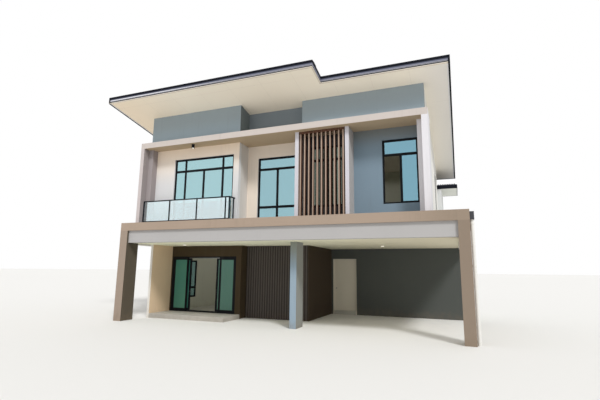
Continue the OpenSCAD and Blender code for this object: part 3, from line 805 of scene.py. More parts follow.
class Finish(Enum):
    """Every finish of the house."""

    # Painted shade: the cream walls' right-facing faces are darker
    CREAM = PaintedRender("cream_paint", (224, 221, 214), others=(OtherFace(Side.RIGHT, (208, 204, 199)),))
    # Painted warm shade: the fronts grow warmer towards the top under the frame slab and on the set-back
    # middle wall; the back faces are the rooms' plaster
    CREAM_FRONT = PaintedRender("cream_front_paint", (216, 216, 217), others=(
        OtherFace(Side.BACK, PLASTER), OtherFace(Side.FRONT, (242, 225, 205), Side.UP.value, 5.6, 0.8),
        OtherFace(Side.FRONT, (232, 220, 206), Side.BACK.value, -3.5)))
    # Painted sunlight: the terrace side of the left wall is a sunlit tan, the lit copy of the brown terrace
    # paint; further back it is the rooms' plaster
    LEFT_WALL = PaintedRender("left_wall_paint", (230, 226, 218), others=(
        OtherFace(Side.RIGHT, (219, 194, 163)), OtherFace(Side.RIGHT, PLASTER, Side.BACK.value, -2.55)))
    RIGHT_WALL = PaintedRender("right_wall_paint", (222, 221, 216), others=(OtherFace(Side.LEFT, PLASTER),))
    REAR_WALL = PaintedRender("rear_wall_paint", (222, 221, 216), others=(OtherFace(Side.FRONT, PLASTER),))
    # Painted shade: the brown terrace and entry walls are darker than their paint, for the shade under the
    # terrace ceiling; the lit copy is on the left wall's terrace face
    BROWN = PaintedRender("brown_paint", (65, 53, 35), splash=0.15, others=(OtherFace(Side.BACK, PLASTER),))
    BROWN_RETURN = PaintedRender("brown_return_paint", (66, 54, 36), others=(OtherFace(Side.LEFT, PLASTER),))
    # Dark fluted boards, partly painted shade: darkened for the shade of the entry, and darker still on the
    # fronts further back
    FLUTED = PaintedRender("fluted_board_paint", (87, 81, 77), mottle=0.10, streaks=0.05, splash=0.1,
                           others=(OtherFace(Side.FRONT, (54, 48, 43), Side.BACK.value, -2.25),))
    # Painted shade: the fluted return's right-facing faces left of x 0.83 are darker
    FLUTED_RETURN = PaintedRender("fluted_return_paint", (65, 54, 42), mottle=0.10, streaks=0.05, splash=0.1,
                                  others=(OtherFace(Side.RIGHT, (40, 33, 25), Side.LEFT.value, -0.83),))
    # Partly painted shade: the carport wall's dark grey is darkened a little for the carport's shade; the
    # back faces are the rooms' plaster
    CHARCOAL = PaintedRender("carport_wall_paint", (79, 82, 79), splash=0.2, others=(
        OtherFace(Side.BACK, PLASTER),))
    # Painted shade: the band's front grows darker towards its right end
    BAND = PaintedRender("portal_band_paint", (166, 148, 132), streaks=0.16, others=(
        OtherFace(Side.FRONT, (150, 134, 118), Side.RIGHT.value, RIGHT_LEG_X, 0.8),))
    # Painted shade: the left leg's inner face is dark and the right leg's front darker than the band; the
    # right leg's outer face keeps the taupe
    LEG = PaintedRender("portal_leg_paint", (156, 140, 126), streaks=0.16, others=(
        OtherFace(Side.RIGHT, (84, 76, 64)),
        OtherFace(Side.RIGHT, (156, 139, 123), Side.RIGHT.value, RIGHT_LEG_X),
        OtherFace(Side.FRONT, (140, 125, 110), Side.RIGHT.value, RIGHT_LEG_X)))
    # Painted shade: the column's front is greyer towards the top under the ceiling, and its right-facing
    # faces are darker
    COLUMN = PaintedRender("column_paint", (146, 164, 178), splash=0.3, others=(
        OtherFace(Side.FRONT, (133, 138, 131), Side.UP.value, 2.2, 0.45),
        OtherFace(Side.RIGHT, (138, 140, 136))))
    BEAM = PaintedRender("beam_paint", (177, 175, 174), streaks=0.05)
    # Painted shade: the band's front is greyer towards the top under the eaves, its right-facing faces and
    # its set-back middle front are darker; the back faces are the rooms' plaster
    BLUE_GREY = PaintedRender("blue_grey_paint", (155, 172, 183), others=(
        OtherFace(Side.FRONT, (148, 160, 166), Side.UP.value, 7.1, 0.4),
        OtherFace(Side.BACK, PLASTER), OtherFace(Side.RIGHT, (112, 122, 124)),
        OtherFace(Side.FRONT, (124, 134, 141), Side.BACK.value, -3.3)))
    # Painted shade: the right bay's front is greyer towards the top and dark behind the slat screen; the back
    # faces are the rooms' plaster
    RIGHT_BAY = PaintedRender("right_bay_paint", (123, 142, 156), others=(
        OtherFace(Side.BACK, PLASTER), OtherFace(Side.FRONT, (117, 123, 124), Side.UP.value, 6.0, 0.35),
        OtherFace(Side.FRONT, (74, 74, 76), Side.LEFT.value, -2.75)))
    WING = PaintedRender("wing_paint", (206, 208, 208), others=(OtherFace(Side.DOWN, PLASTER),))
    # Painted shade and light: warm undersides, darker right-facing faces and darker set-back fronts for
    # shade, and a pale right end for the sun
    FRAME = PaintedRender("frame_paint", (200, 191, 185), others=(
        OtherFace(Side.DOWN, PAINTED_UNDERSIDE_SHADE), OtherFace(Side.RIGHT, (150, 142, 141)),
        OtherFace(Side.RIGHT, PAINTED_LIT_FRAME_END, Side.RIGHT.value, 5.2),
        OtherFace(Side.FRONT, (154, 146, 146), Side.BACK.value, UPRIGHT_RECESS_Y)))
    # Painted shade and light: as on the frame, with the right upright's faces painted pale for the sun on
    # them
    UPRIGHT = PaintedRender("upright_paint", (198, 189, 188), others=(
        OtherFace(Side.DOWN, PAINTED_UNDERSIDE_SHADE), OtherFace(Side.RIGHT, (150, 142, 142)),
        OtherFace(Side.FRONT, (160, 152, 152), Side.BACK.value, UPRIGHT_RECESS_Y),
        OtherFace(Side.FRONT, (224, 222, 226), Side.RIGHT.value, RIGHT_UPRIGHT_X),
        OtherFace(Side.LEFT, (222, 219, 222), Side.RIGHT.value, RIGHT_UPRIGHT_X),
        OtherFace(Side.RIGHT, PAINTED_LIT_FRAME_END, Side.RIGHT.value, RIGHT_UPRIGHT_X)))
    # Painted shade: the fins' right-facing faces are darker
    FIN = PaintedRender("fin_paint", (206, 204, 211), streaks=0.08, others=(
        OtherFace(Side.RIGHT, (178, 175, 174)),))
    CONCRETE = PaintedRender("screed", (178, 174, 166), mottle=0.16, others=(
        OtherFace(Side.DOWN, (224, 220, 208)),))
    # Painted light and shade: the soffit is paler than its cream for the bounce light under the eaves, greyer
    # past the house's right wall, and warmer and darker towards its left end
    SOFFIT = PaintedBoard("soffit_paint", (255, 246, 228), others=(
        OtherFace(Side.DOWN, (228, 224, 219), Side.RIGHT.value, 5.3, 0.9),
        OtherFace(Side.DOWN, (247, 230, 205), Side.LEFT.value, 4.5, 1.5)))
    # Painted light: the terrace ceiling grows paler towards the left, for the bounce light from the ground in
    # front
    CEILING = PaintedBoard("ceiling_paint", (229, 221, 195), depth=0.15, others=(
        OtherFace(Side.DOWN, (255, 255, 226), Side.LEFT.value, -2.0, 3.5),))
    WING_SOFFIT = PaintedBoard("wing_soffit_paint", (224, 226, 218), pitch=(0.6, 2.4))
    TILE = PaintedBoard("terrace_tile", (186, 182, 174), pitch=(0.6, 0.6), joint=0.0, roughness=0.5)
    FLOOR_TILE = PaintedBoard("room_tile", (206, 203, 192), pitch=(0.6, 0.6), joint=0.004, roughness=0.35)
    DOOR = PaintedBoard("door_coating", (219, 212, 196), pitch=(40.0, 40.0), roughness=0.5)
    WINDOW_METAL = CoatedMetal("window_metal", (16, 19, 24), gloss=0.52, dust=0.10, sheen=0.12)
    RAIL_METAL = CoatedMetal("rail_metal", (20, 25, 32), gloss=0.5, dust=0.12, sheen=0.15)
    ROOF_METAL = CoatedMetal("roof_coating", (22, 25, 34), gloss=0.6, dust=0.07, sheen=0.08, streaks=0.03,
                             others=(OtherFace(Side.UP, (60, 64, 73)),))
    # The dark trim is painted cream like the soffit on its undersides near the front and on its lowest part,
    # with the painted shadow line above it; the side trims keep their dark
    EDGE_METAL = CoatedMetal("edge_metal", TRIM_DARK, gloss=0.55, sheen=0.06, streaks=0.03, others=(
        OtherFace(Side.DOWN, (226, 216, 200), Side.FRONT.value, 4.30),
        *edge_layer((232, 224, 212), -0.001), *edge_layer(PAINTED_SHADOW_LINE, 0.014),
        OtherFace(Side.FRONT, TRIM_DARK, Side.RIGHT.value, TRIM_END_X),
        OtherFace(Side.DOWN, TRIM_DARK, Side.RIGHT.value, TRIM_END_X),
        OtherFace(Side.DOWN, TRIM_DARK, Side.LEFT.value, 6.294)))
    # Painted light and shade on the fascia's front: a sunlit white strip at the foot that narrows to the
    # right, a lavender sheen mirroring the ground above it, then a blue-grey and a near-black band for the
    # shade under the sheet's edge
    BAND_METAL = CoatedMetal("fascia_metal", (50, 53, 68), gloss=0.45, sheen=0.12, streaks=0.05, others=(
        *edge_layer((226, 225, 232), 0.0), OtherFace(Side.RIGHT, PAINTED_FASCIA_SHEEN),
        OtherFace(Side.FRONT, PAINTED_FASCIA_SHEEN, PAINTED_SUNLIGHT_SLANT, SOFFIT_LEVEL + 0.066, 0.02),
        *edge_layer((78, 82, 98), 0.114, 0.012), *edge_layer((20, 22, 30), 0.151, 0.010)))
    # Painted shade on the white strip: a dark line at its foot, and lavender above where the strip lies in
    # shade
    STRIP_METAL = CoatedMetal("strip_metal", (222, 221, 222), gloss=0.45, others=(
        *edge_layer(PAINTED_SHADOW_LINE, 0.0), *edge_layer((190, 190, 200), 0.064)))
    PALE_METAL = CoatedMetal("pale_metal", (222, 221, 222), gloss=0.45)
    GUTTER_METAL = CoatedMetal("gutter_coating", (74, 75, 80), gloss=0.5, sheen=0.12)
    PIPE = CoatedMetal("pipe_plastic", (222, 221, 216), gloss=0.35)
    STEEL = CoatedMetal("satin_steel", (150, 150, 148), gloss=0.3, dust=0.1, metallic=1.0)
    # Painted light: the slats' fronts are paler for the sky light on them; the header's front stays dark as
    # painted shade
    TIMBER = StainedTimber("slat_stain", (84, 50, 31), (168, 145, 128))
    # Painted reflections: from left to right the panes get other tints for what each window mirrors, darkest
    # behind the slat screen
    SKY_GLASS = WindowGlass("upper_glass", (181, 221, 227), mirror=0.80, others=(
        OtherFace(Side.FRONT, (162, 203, 213), Side.RIGHT.value, -1.3),
        OtherFace(Side.FRONT, (118, 130, 120), Side.RIGHT.value, 1.3),
        OtherFace(Side.FRONT, (133, 182, 200), Side.RIGHT.value, 2.7)))
    # Painted shade: the door panes right of x -3.42 are darker
    DOOR_GLASS = WindowGlass("door_glass", (88, 167, 152), mirror=0.24, clear=0.35, others=(
        OtherFace(Side.FRONT, (76, 126, 110), Side.RIGHT.value, -3.42),))
    CLEAR_GLASS = WindowGlass("rail_glass", (238, 251, 254), mirror=0.62)
    RUBBER = Rubber("glazing_rubber")
    LAMP = LampGlow("spot_glow", (255, 250, 240), 1.6)
    CEILING_LAMP = LampGlow("ceiling_glow", (255, 246, 226), 1.8)

    def material(self) -> bpy.types.Material:
        """Gives the finish's material and builds it on its first use."""
        return bpy.data.materials.get(self.value.name) or self.value.make()


@dataclass(frozen=True)
class Span:
    """A box in the model's frame, in metres.

    Attributes:
        low: Its lowest corner.
        high: Its highest corner.
    """

    low: Vector
    high: Vector

    @property
    def centre(self) -> Vector:
        """The middle of the box."""
        return (self.low + self.high) / 2

    @property
    def size(self) -> Vector:
        """The lengths of its sides."""
        return self.high - self.low

    def thin(self) -> Axis:
        """The horizontal axis on which a pane or a board is thinnest."""
        return Axis.X if self.size.x < self.size.y else Axis.Y


def node_span(node: str) -> Span:
    """Gives the box of a construction node."""
    low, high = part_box(node)
    return Span(low, high)


def separate_spans(node: bpy.types.Object) -> list[Span]:
    """Gives the box of each solid of a node, from left to right, front to back and low to high.

    Args:
        node: The node's object.

    Returns:
        One box for each solid that doesn't touch another.
    """
    mesh = bmesh.new()
    mesh.from_mesh(node.data)
    bmesh.ops.remove_doubles(mesh, verts=mesh.verts, dist=1e-5)
    left = set(mesh.verts)
    spans = []
    while left:
        found = {left.pop()}
        edge = list(found)
        while edge:
            near = {e.other_vert(v) for v in edge for e in v.link_edges} & left
            left -= near
            found |= near
            edge = list(near)
        points = [v.co for v in found]
        low = Vector([min(p[i] for p in points) for i in range(3)])
        high = Vector([max(p[i] for p in points) for i in range(3)])
        spans.append(Span(low, high))
    mesh.free()
    return sorted(spans, key=lambda s: (round(s.low.x, 3), round(s.low.y, 3), round(s.low.z, 3)))


class Shape:
    """A mesh under construction, in metres in the model's frame."""

    def __init__(self) -> None:
        """Starts an empty mesh."""
        self.mesh = bmesh.new()

    def box(self, low: Sequence[float], high: Sequence[float], bevel: float = 0.0) -> None:
        """Adds a box, with its edges rounded off where a bevel is given.

        Args:
            low: Its lowest corner.
            high: Its highest corner.
            bevel: Width of the bevel.
        """
        low, high = Vector(low), Vector(high)
        place = Matrix.Translation((low + high) / 2) @ Matrix.Diagonal((*(high - low), 1.0))
        made = bmesh.ops.create_cube(self.mesh, size=1.0, matrix=place)["verts"]
        if bevel:
            edges = list({e for v in made for e in v.link_edges})
            bmesh.ops.bevel(self.mesh, geom=edges, offset=bevel, segments=2, affect="EDGES", profile=0.7)

    def prism(self, outline: Profile, start: float, end: float, along: Axis, drop: float = 0.0) -> None:
        """Extrudes an outline along a horizontal axis.

        Args:
            outline: Points across the axis and up, in metres.
            start: Where the prism begins on the axis.
            end: Where it ends.
            along: The axis.
            drop: How far the far end lies lower for each metre.
        """
        rings = []
        for place, fall in ((start, 0.0), (end, drop * (end - start))):
            ring = []
            for across, up in outline:
                at = (place, across, up - fall) if along is Axis.X else (across, place, up - fall)
                ring.append(self.mesh.verts.new(at))
            rings.append(ring)
        self.skin(rings)
        self.mesh.faces.new(rings[0])
        self.mesh.faces.new(list(reversed(rings[1])))

    def skin(self, rings: Sequence[Sequence[bmesh.types.BMVert]]) -> None:
        """Joins closed rings of points, one after another, with faces.

        Args:
            rings: Rings with the same number of points.
        """
        for lower, upper in zip(rings, rings[1:]):
            count = len(lower)
            for i in range(count):
                j = (i + 1) % count
                self.mesh.faces.new((lower[i], lower[j], upper[j], upper[i]))

    def lathe(self, profile: Profile, base: Sequence[float], side: Side, steps: int = 24) -> None:
        """Turns a profile round an axis.

        Args:
            profile: Points as radius and distance along the axis, from the foot on the axis to its end.
            base: Where the axis starts.
            side: The way that the axis points.
            steps: Points round the axis.
        """
        turn = Vector(side.value).to_track_quat("Z", "Y").to_matrix().to_4x4()
        place = Matrix.Translation(Vector(base)) @ turn
        rings = []
        for radius, height in profile:
            ring = []
            for i in range(steps):
                angle = 2 * math.pi * i / steps
                at = Vector((radius * math.cos(angle), radius * math.sin(angle), height))
                ring.append(self.mesh.verts.new(place @ at))
            rings.append(ring)
        self.skin(rings)
        self.mesh.faces.new(list(reversed(rings[0])))
        self.mesh.faces.new(rings[-1])

    def mitred_ring(self, span: Span, profile: Profile, outwards: Side) -> None:
        """Runs a profile round an upright rectangle, with mitred corners.

        Args:
            span: The pane or opening; the ring lies inside its edges.
            profile: Closed outline as distance in from the edge and distance out from the face.
            outwards: The way that the ring's face looks.
        """
        out = Vector(outwards.value)
        flat = Axis.X if abs(out.y) > 0.5 else Axis.Y
        face = span.high if out[1 - flat.value] > 0 else span.low
        rings = []
        for inset, depth in profile:
            u0, u1 = span.low[flat.value] + inset, span.high[flat.value] - inset
            z0, z1 = span.low.z + inset, span.high.z - inset
            ring = []
            for u, z in ((u0, z0), (u1, z0), (u1, z1), (u0, z1)):
                at = face + out * depth
                at[flat.value] = u
                at.z = z
                ring.append(self.mesh.verts.new(at))
            rings.append(ring)
        self.skin([*rings, rings[0]])

    def piece(self, name: str, finish: Finish, slot: str, body: str = HOUSE, smooth: bool = False) -> None:
        """Ends the mesh and makes it a piece that rides on a body.

        Args:
            name: The piece's name.
            finish: Its finish.
            slot: The record's slot that the finish belongs to; not used.
            body: The body that it rides on.
            smooth: Whether round faces are shaded smoothly.
        """
        bmesh.ops.recalc_face_normals(self.mesh, faces=self.mesh.faces)
        data = bpy.data.meshes.new(name)
        self.mesh.to_mesh(data)
        self.mesh.free()
        if smooth:
            data.shade_smooth()
            data.set_sharp_from_angle(angle=math.radians(SHARP_ANGLE))
        data.materials.append(finish.material())
        made = bpy.data.objects.new(name, data)
        bpy.context.scene.collection.objects.link(made)
        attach(made, body)
        log.info("piece %s: %d faces", name, len(data.polygons))


@dataclass
class Construction:
    """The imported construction, whose nodes keep their shape and get their finishes.

    Attributes:
    """

    frame: dict

    def dress(self) -> None:
        """Gives each node its finish."""
        finishes = {
            Finish.FLOOR_TILE: ["ground_floor"],
            Finish.CONCRETE: ["terrace_slab", "upper_floor"],
            Finish.LEFT_WALL: ["left_wall_ground"],
            Finish.BROWN: ["terrace_wall", "terrace_wall_top", "entry_wall"],
            Finish.BROWN_RETURN: ["entry_return_wall"],
            Finish.FLUTED: ["entry_cladding"],
            Finish.FLUTED_RETURN: ["return_cladding"],
            Finish.CHARCOAL: ["carport_wall", "carport_wall_top"],
            Finish.RIGHT_WALL: ["right_wall_ground", "right_wall_upper"],
            Finish.REAR_WALL: ["rear_wall_ground", "rear_wall_upper"],
            Finish.CREAM: ["side_beams", "left_wall_upper", "bay_returns"],
            Finish.WING: ["rear_wing_walls"],
            Finish.CREAM_FRONT: ["bay_wall", "middle_wall"],
            Finish.COLUMN: ["column"],
            Finish.BAND: ["portal_band"],
            Finish.LEG: ["portal_legs"],
            Finish.BEAM: ["front_beam"],
            Finish.CEILING: ["ceiling"],
            Finish.RIGHT_BAY: ["right_bay_wall"],
            Finish.BLUE_GREY: ["upper_band"],
            Finish.FRAME: ["frame_slab"],
            Finish.UPRIGHT: ["frame_uprights"],
            Finish.FIN: ["screen_fins"],
            Finish.TIMBER: ["slat_screen"],
            Finish.RAIL_METAL: ["balustrade"],
            Finish.CLEAR_GLASS: ["balustrade_glass"],
            Finish.WINDOW_METAL: ["front_window_frames", "side_window_frames", "sliding_door_frame",
                                  "left_leaf", "right_leaf", "spot_lamp"],
            Finish.SKY_GLASS: ["front_window_glass", "side_window_glass"],
            Finish.DOOR_GLASS: ["sliding_door_glass", "left_leaf_glass", "right_leaf_glass"],
            Finish.DOOR: ["door_frame", "carport_door"],
            Finish.ROOF_METAL: ["roof_sheet", "rear_wing_roof"],
            Finish.EDGE_METAL: ["edge_trim"],
            Finish.SOFFIT: ["soffit"],
            Finish.BAND_METAL: ["front_fascia"],
            Finish.STRIP_METAL: ["fascia_strip"],
            Finish.PALE_METAL: ["ceiling_lights"],
            Finish.WING_SOFFIT: ["rear_wing_soffit"],
            Finish.GUTTER_METAL: ["gutter"],
            Finish.PIPE: ["downpipe"],
        }
        bare = set(self.frame["nodes"])
        for finish, nodes in finishes.items():
            for node in nodes:
                data = self.frame["nodes"][node].data
                data.materials.clear()
                data.materials.append(finish.material())
                bare.discard(node)
        log.info("dressed %d nodes, bare: %s", len(self.frame["nodes"]), sorted(bare))


@dataclass
class RoofCovering:
    """Swages, flashings and screws on the main roof's ribbed sheets, and the trim round the rear wing's
    soffit.

    Attributes:
        sheet_t: Thickness of the roof's top layer.
        rib_pitch: Distance from one rib to the next.
        rib_h: Height of a rib.
        rib_foot: Width of a rib at its foot.
        flashing_w: Width of the flat flashings along the sides.
        rib_start: Distance from the high edge to where the ribs begin.
        purlin_pitch: Distance between the rows of screws.
        step_x: Where the high edge steps back.
        step_depth: How far it steps back.
        swages: Distances of the two swages from their rib.
        trim_w: Width of the folded trim under the rear wing's soffit.
        lip: How far that trim stands out.
    """

    sheet_t: float = 0.055
    rib_pitch: float = 0.20
    rib_h: float = 0.028
    rib_foot: float = 0.062
    flashing_w: float = 0.18
    rib_start: float = 0.20
    purlin_pitch: float = 1.15
    step_x: float = 1.991
    step_depth: float = 0.845
    swages: tuple[float, float] = (0.068, 0.132)
    trim_w: float = 0.022
    lip: float = 0.002

    def __post_init__(self) -> None:
        """Reads the roof's box and its fall."""
        self.span = node_span("roof_sheet")
        depth = self.span.size.y
        self.fall = (self.span.size.z - self.sheet_t) / depth
        log.info("roof falls %.4f", self.fall)

    def top(self, y: float) -> float:
        """Gives the height of the sheet's face at a place."""
        return self.span.high.z - self.fall * (y - self.span.low.y)

    def high_edge(self, x: float) -> float:
        """Gives the high edge's place at a distance along the front."""
        return self.span.low.y + (self.step_depth if x > self.step_x - self.rib_pitch / 2 else 0.0)

    def rib_places(self) -> list[float]:
        """Gives the middle of each rib between the side flashings.

        Returns:
            The places along X, from left to right.
        """
        margin = self.flashing_w + self.rib_foot
        first = self.span.low.x + margin
        count = int((self.span.size.x - 2 * margin) / self.rib_pitch)
        return [first + i * self.rib_pitch for i in range(count + 1)]

    def sloped_prism(self, shape: Shape, outline: Profile, start: float, end: float) -> None:
        """Runs an outline down the slope, its heights counted from the sheet.

        Args:
            shape: The mesh.
            outline: Points across and up from the sheet.
            start: The high end.
            end: The low end.
        """
        raised = [(x, self.top(start) + z) for x, z in outline]
        shape.prism(raised, start, end, Axis.Y, self.fall)

    def stiffeners(self) -> None:
        """Builds the two low swages in each flat pan between the ribs."""
        shape = Shape()
        for x in self.rib_places()[:-1]:
            for offset in self.swages:
                at = x + offset
                swage = [(at - 0.010, -0.002), (at - 0.004, 0.004), (at + 0.004, 0.004), (at + 0.010, -0.002)]
                self.sloped_prism(shape, swage, self.high_edge(x) + 0.21, self.span.high.y - 0.012)
        shape.piece("roof_stiffeners", Finish.ROOF_METAL, "roof_metal")

    def flashings(self) -> None:
        """Builds the folded flashings along the high edges and down the sides."""
        shape = Shape()
        rise = self.rib_h + 0.003
        low, high = self.span.low, self.span.high
        for x0, x1 in ((low.x + 0.005, self.step_x - 0.002), (self.step_x - 0.06, high.x - 0.005)):
            edge = low.y if x0 < 0 else low.y + self.step_depth
            base = self.top(edge)
            fold = [(0.02, 0.0), (self.rib_start - 0.015, rise), (0.36, rise), (0.363, rise - 0.02)]
            upper = [(edge + d, base - self.fall * d + h + 0.002) for d, h in fold]
            lower = [(y, z - 0.004) for y, z in reversed(upper)]
            shape.prism(upper + lower, x0, x1, Axis.X)
        inner, outer = self.flashing_w - 0.002, 0.003
        for x0, x1, front in ((low.x + outer, low.x + inner, low.y),
                              (high.x - inner, high.x - outer, low.y + self.step_depth)):
            outline = [(x0, -0.001), (x0, rise - 0.006), (x0 + 0.006, rise)]
            outline += [(x1 - 0.006, rise), (x1, rise - 0.02), (x1, -0.001)]
            self.sloped_prism(shape, outline, front + 0.30, high.y - 0.008)
        shape.piece("roof_flashings", Finish.ROOF_METAL, "roof_metal")

    def screws(self) -> None:
        """Builds a row of washered screws over each purlin, on every second rib."""
        shape = Shape()
        profile = [(0.0095, 0.0), (0.0095, 0.002), (0.0055, 0.003), (0.0055, 0.008), (0.003, 0.0095)]
        for x in self.rib_places()[::2]:
            y = self.high_edge(x) + 0.6
            while y < self.span.high.y - 0.1:
                shape.lathe(profile, (x, y, self.top(y) + self.rib_h - 0.001), Side.UP, 8)
                y += self.purlin_pitch
        shape.piece("roof_screws", Finish.STEEL, "roof_metal")

    def wing_edge(self) -> None:
        """Builds the folded trim round the edge of the rear wing's soffit."""
        shape = Shape()
        board = node_span("rear_wing_soffit")
        low, high, lip = board.low, board.high, self.lip
        bottom, top = low.z - 0.006, low.z + 0.03
        for x0, y0, x1 in ((high.x - self.trim_w, low.y + lip, high.x + lip),
                           (low.x - lip, low.y + lip, low.x + self.trim_w),
                           (low.x, high.y - self.trim_w, high.x)):
            shape.box((x0, y0, bottom), (x1, high.y + lip, top), 0.002)
        wall = node_span("right_wall_upper").high.x
        shape.box((wall + lip, low.y - 0.02, low.z - 0.015), (high.x, low.y + lip, high.z + 0.135), 0.003)
        shape.piece("rear_wing_edge_trim", Finish.ROOF_METAL, "roof_metal")

    def build(self) -> None:
        """Builds the whole covering."""
        self.stiffeners()
        self.flashings()
        self.screws()
        self.wing_edge()


@dataclass
class Glazing:
    """Beads and rubber round each pane of one node.

    Attributes:
        node: The node that holds the panes.
        object: The node's object.
        body: The body that they ride on.
        bead_w: Width of a bead.
        bead_d: Depth of a bead.
    """

    node: str
    object: bpy.types.Object
    body: str = HOUSE
    bead_w: float = 0.016
    bead_d: float = 0.015

    def build(self) -> None:
        """Builds the beads and the rubber on both faces of every pane."""
        beads, rubber = Shape(), Shape()
        w, d = self.bead_w, self.bead_d
        bead = [(0.0, 0.0), (w, 0.0), (w, d * 0.45), (w * 0.55, d), (0.0, d)]
        lip = [(w, 0.0), (w + 0.005, 0.0), (w + 0.003, 0.004), (w, 0.005)]
        for pane in separate_spans(self.object):
            sides = (Side.LEFT, Side.RIGHT) if pane.thin() is Axis.X else (Side.FRONT, Side.BACK)
            for side in sides:
                beads.mitred_ring(pane, bead, side)
                rubber.mitred_ring(pane, lip, side)
        beads.piece(self.node + "_beads", Finish.WINDOW_METAL, "dark_aluminium", self.body)
        rubber.piece(self.node + "_rubber", Finish.RUBBER, "dark_aluminium", self.body)


@dataclass
class BalconyRail:
    """Shoes, glass channels and rail cap of the balustrade.

    Attributes:
        panes: The object that holds its glass.
        post_w: Side of a post.
        shoe: Side of a post's foot plate.
        shoe_t: Thickness of the foot plate.
        bolt: Distance of a nut from the post's middle, along both sides.
        cap_r: Half the width of the cap.
        cap_drop: Distance of the cap's rounded part from the rail's top.
        cap_rise: Height of the rounded part.
        cap_foot: Distance of the cap's foot from the rail's top.
    """

    panes: bpy.types.Object
    post_w: float = 0.04
    shoe: float = 0.086
    shoe_t: float = 0.008
    bolt: float = 0.033
    cap_r: float = 0.026
    cap_drop: float = 0.008
    cap_rise: float = 0.009
    cap_foot: float = 0.018

    def __post_init__(self) -> None:
        """Reads the balustrade's box and its posts' places."""
        self.span = node_span("balustrade")
        panes = separate_spans(self.panes)
        glass = [p for p in panes if p.thin() is Axis.Y]
        half = self.post_w / 2
        front = self.span.low.y + half
        self.posts = [Vector((p.low.x - half, front, self.span.low.z)) for p in glass]
        self.posts.append(Vector((self.span.high.x - half, front, self.span.low.z)))
        back = max(p.high.y for p in panes) + half
        self.posts.append(Vector((self.span.high.x - half, back, self.span.low.z)))

    def shoes(self) -> None:
        """Builds a foot plate with four domed nuts under each post."""
        plates, nuts = Shape(), Shape()
        dome = [(0.008, 0.0), (0.008, 0.004), (0.0065, 0.006), (0.0065, 0.009)]
        dome += [(0.004, 0.0125), (0.001, 0.0135)]
        for index, foot in enumerate(self.posts):
            half = self.shoe / 2
            left = -self.post_w / 2 if index == 0 else -half
            low = foot + Vector((left, -half, 0.0))
            high = foot + Vector((half, half, self.shoe_t))
            plates.box(low, high, 0.0015)
            bolt_x = (self.bolt,) if index == 0 else (-self.bolt, self.bolt)
            for x in bolt_x:
                for y in (-self.bolt, self.bolt):
                    nuts.lathe(dome, foot + Vector((x, y, self.shoe_t)), Side.UP, 12)
        plates.piece("balustrade_shoes", Finish.RAIL_METAL, "dark_aluminium")
        nuts.piece("balustrade_nuts", Finish.STEEL, "dark_aluminium", smooth=True)

    def cap(self) -> None:
        """Builds the rounded cap that lies on the top rail and turns the corner."""
        shape = Shape()
        low, high, r = self.span.low, self.span.high, self.cap_r
        angles = [math.pi * i / 8 for i in range(9)]
        shoulder, foot = high.z - self.cap_drop, high.z - self.cap_foot
        profile = [(r * math.cos(a), shoulder + self.cap_rise * math.sin(a)) for a in angles]
        profile += [(-r, foot), (r, foot)]
        half = self.post_w / 2
        shape.prism([(low.y + half + w, z) for w, z in profile], low.x + 0.001, high.x + 0.004, Axis.X)
        shape.prism([(high.x - half + w, z) for w, z in profile], low.y + 0.02, high.y - 0.001, Axis.Y)
        shape.piece("balustrade_cap", Finish.RAIL_METAL, "dark_aluminium", smooth=True)

    def build(self) -> None:
        """Builds the fittings of the balustrade."""
        self.shoes()
        self.cap()


@dataclass
class SlatFixings:
    """Screws that hold the slats to their rails, and beads beside the slats.

    Attributes:
        slat_count: Number of slats.
        slat_w: Width of a slat.
        margin: Gap between a fin and the first slat.
        rail_inset: Distance of a screw from the slat's end.
        bead_w: Width of the bead along the fins.
    """

    slat_count: int = 11
    slat_w: float = 0.044
    margin: float = 0.045
    rail_inset: float = 0.03
    bead_w: float = 0.012

    def build(self) -> None:
        """Builds a screw at both ends of each slat, and a bead along each fin."""
        span = node_span("slat_screen")
        screws, bead = Shape(), Shape()
        dome = [(0.006, 0.0), (0.006, 0.001), (0.0045, 0.0028), (0.001, 0.0036)]
        pitch = (span.size.x - 2 * self.margin - self.slat_w) / (self.slat_count - 1)
        for i in range(self.slat_count):
            x = span.low.x + self.margin + self.slat_w / 2 + i * pitch
            for z in (span.low.z + self.rail_inset, span.high.z - self.rail_inset - 0.012):
                screws.lathe(dome, (x, span.low.y, z), Side.FRONT, 12)
        y0, y1 = span.low.y + 0.012, span.low.y + 0.03
        for x0 in (span.low.x, span.high.x - self.bead_w):
            bead.box((x0, y0, span.low.z), (x0 + self.bead_w, y1, span.high.z), 0.002)
        screws.piece("slat_screws", Finish.STEEL, "timber", smooth=True)
        bead.piece("slat_screen_beads", Finish.TIMBER, "timber")


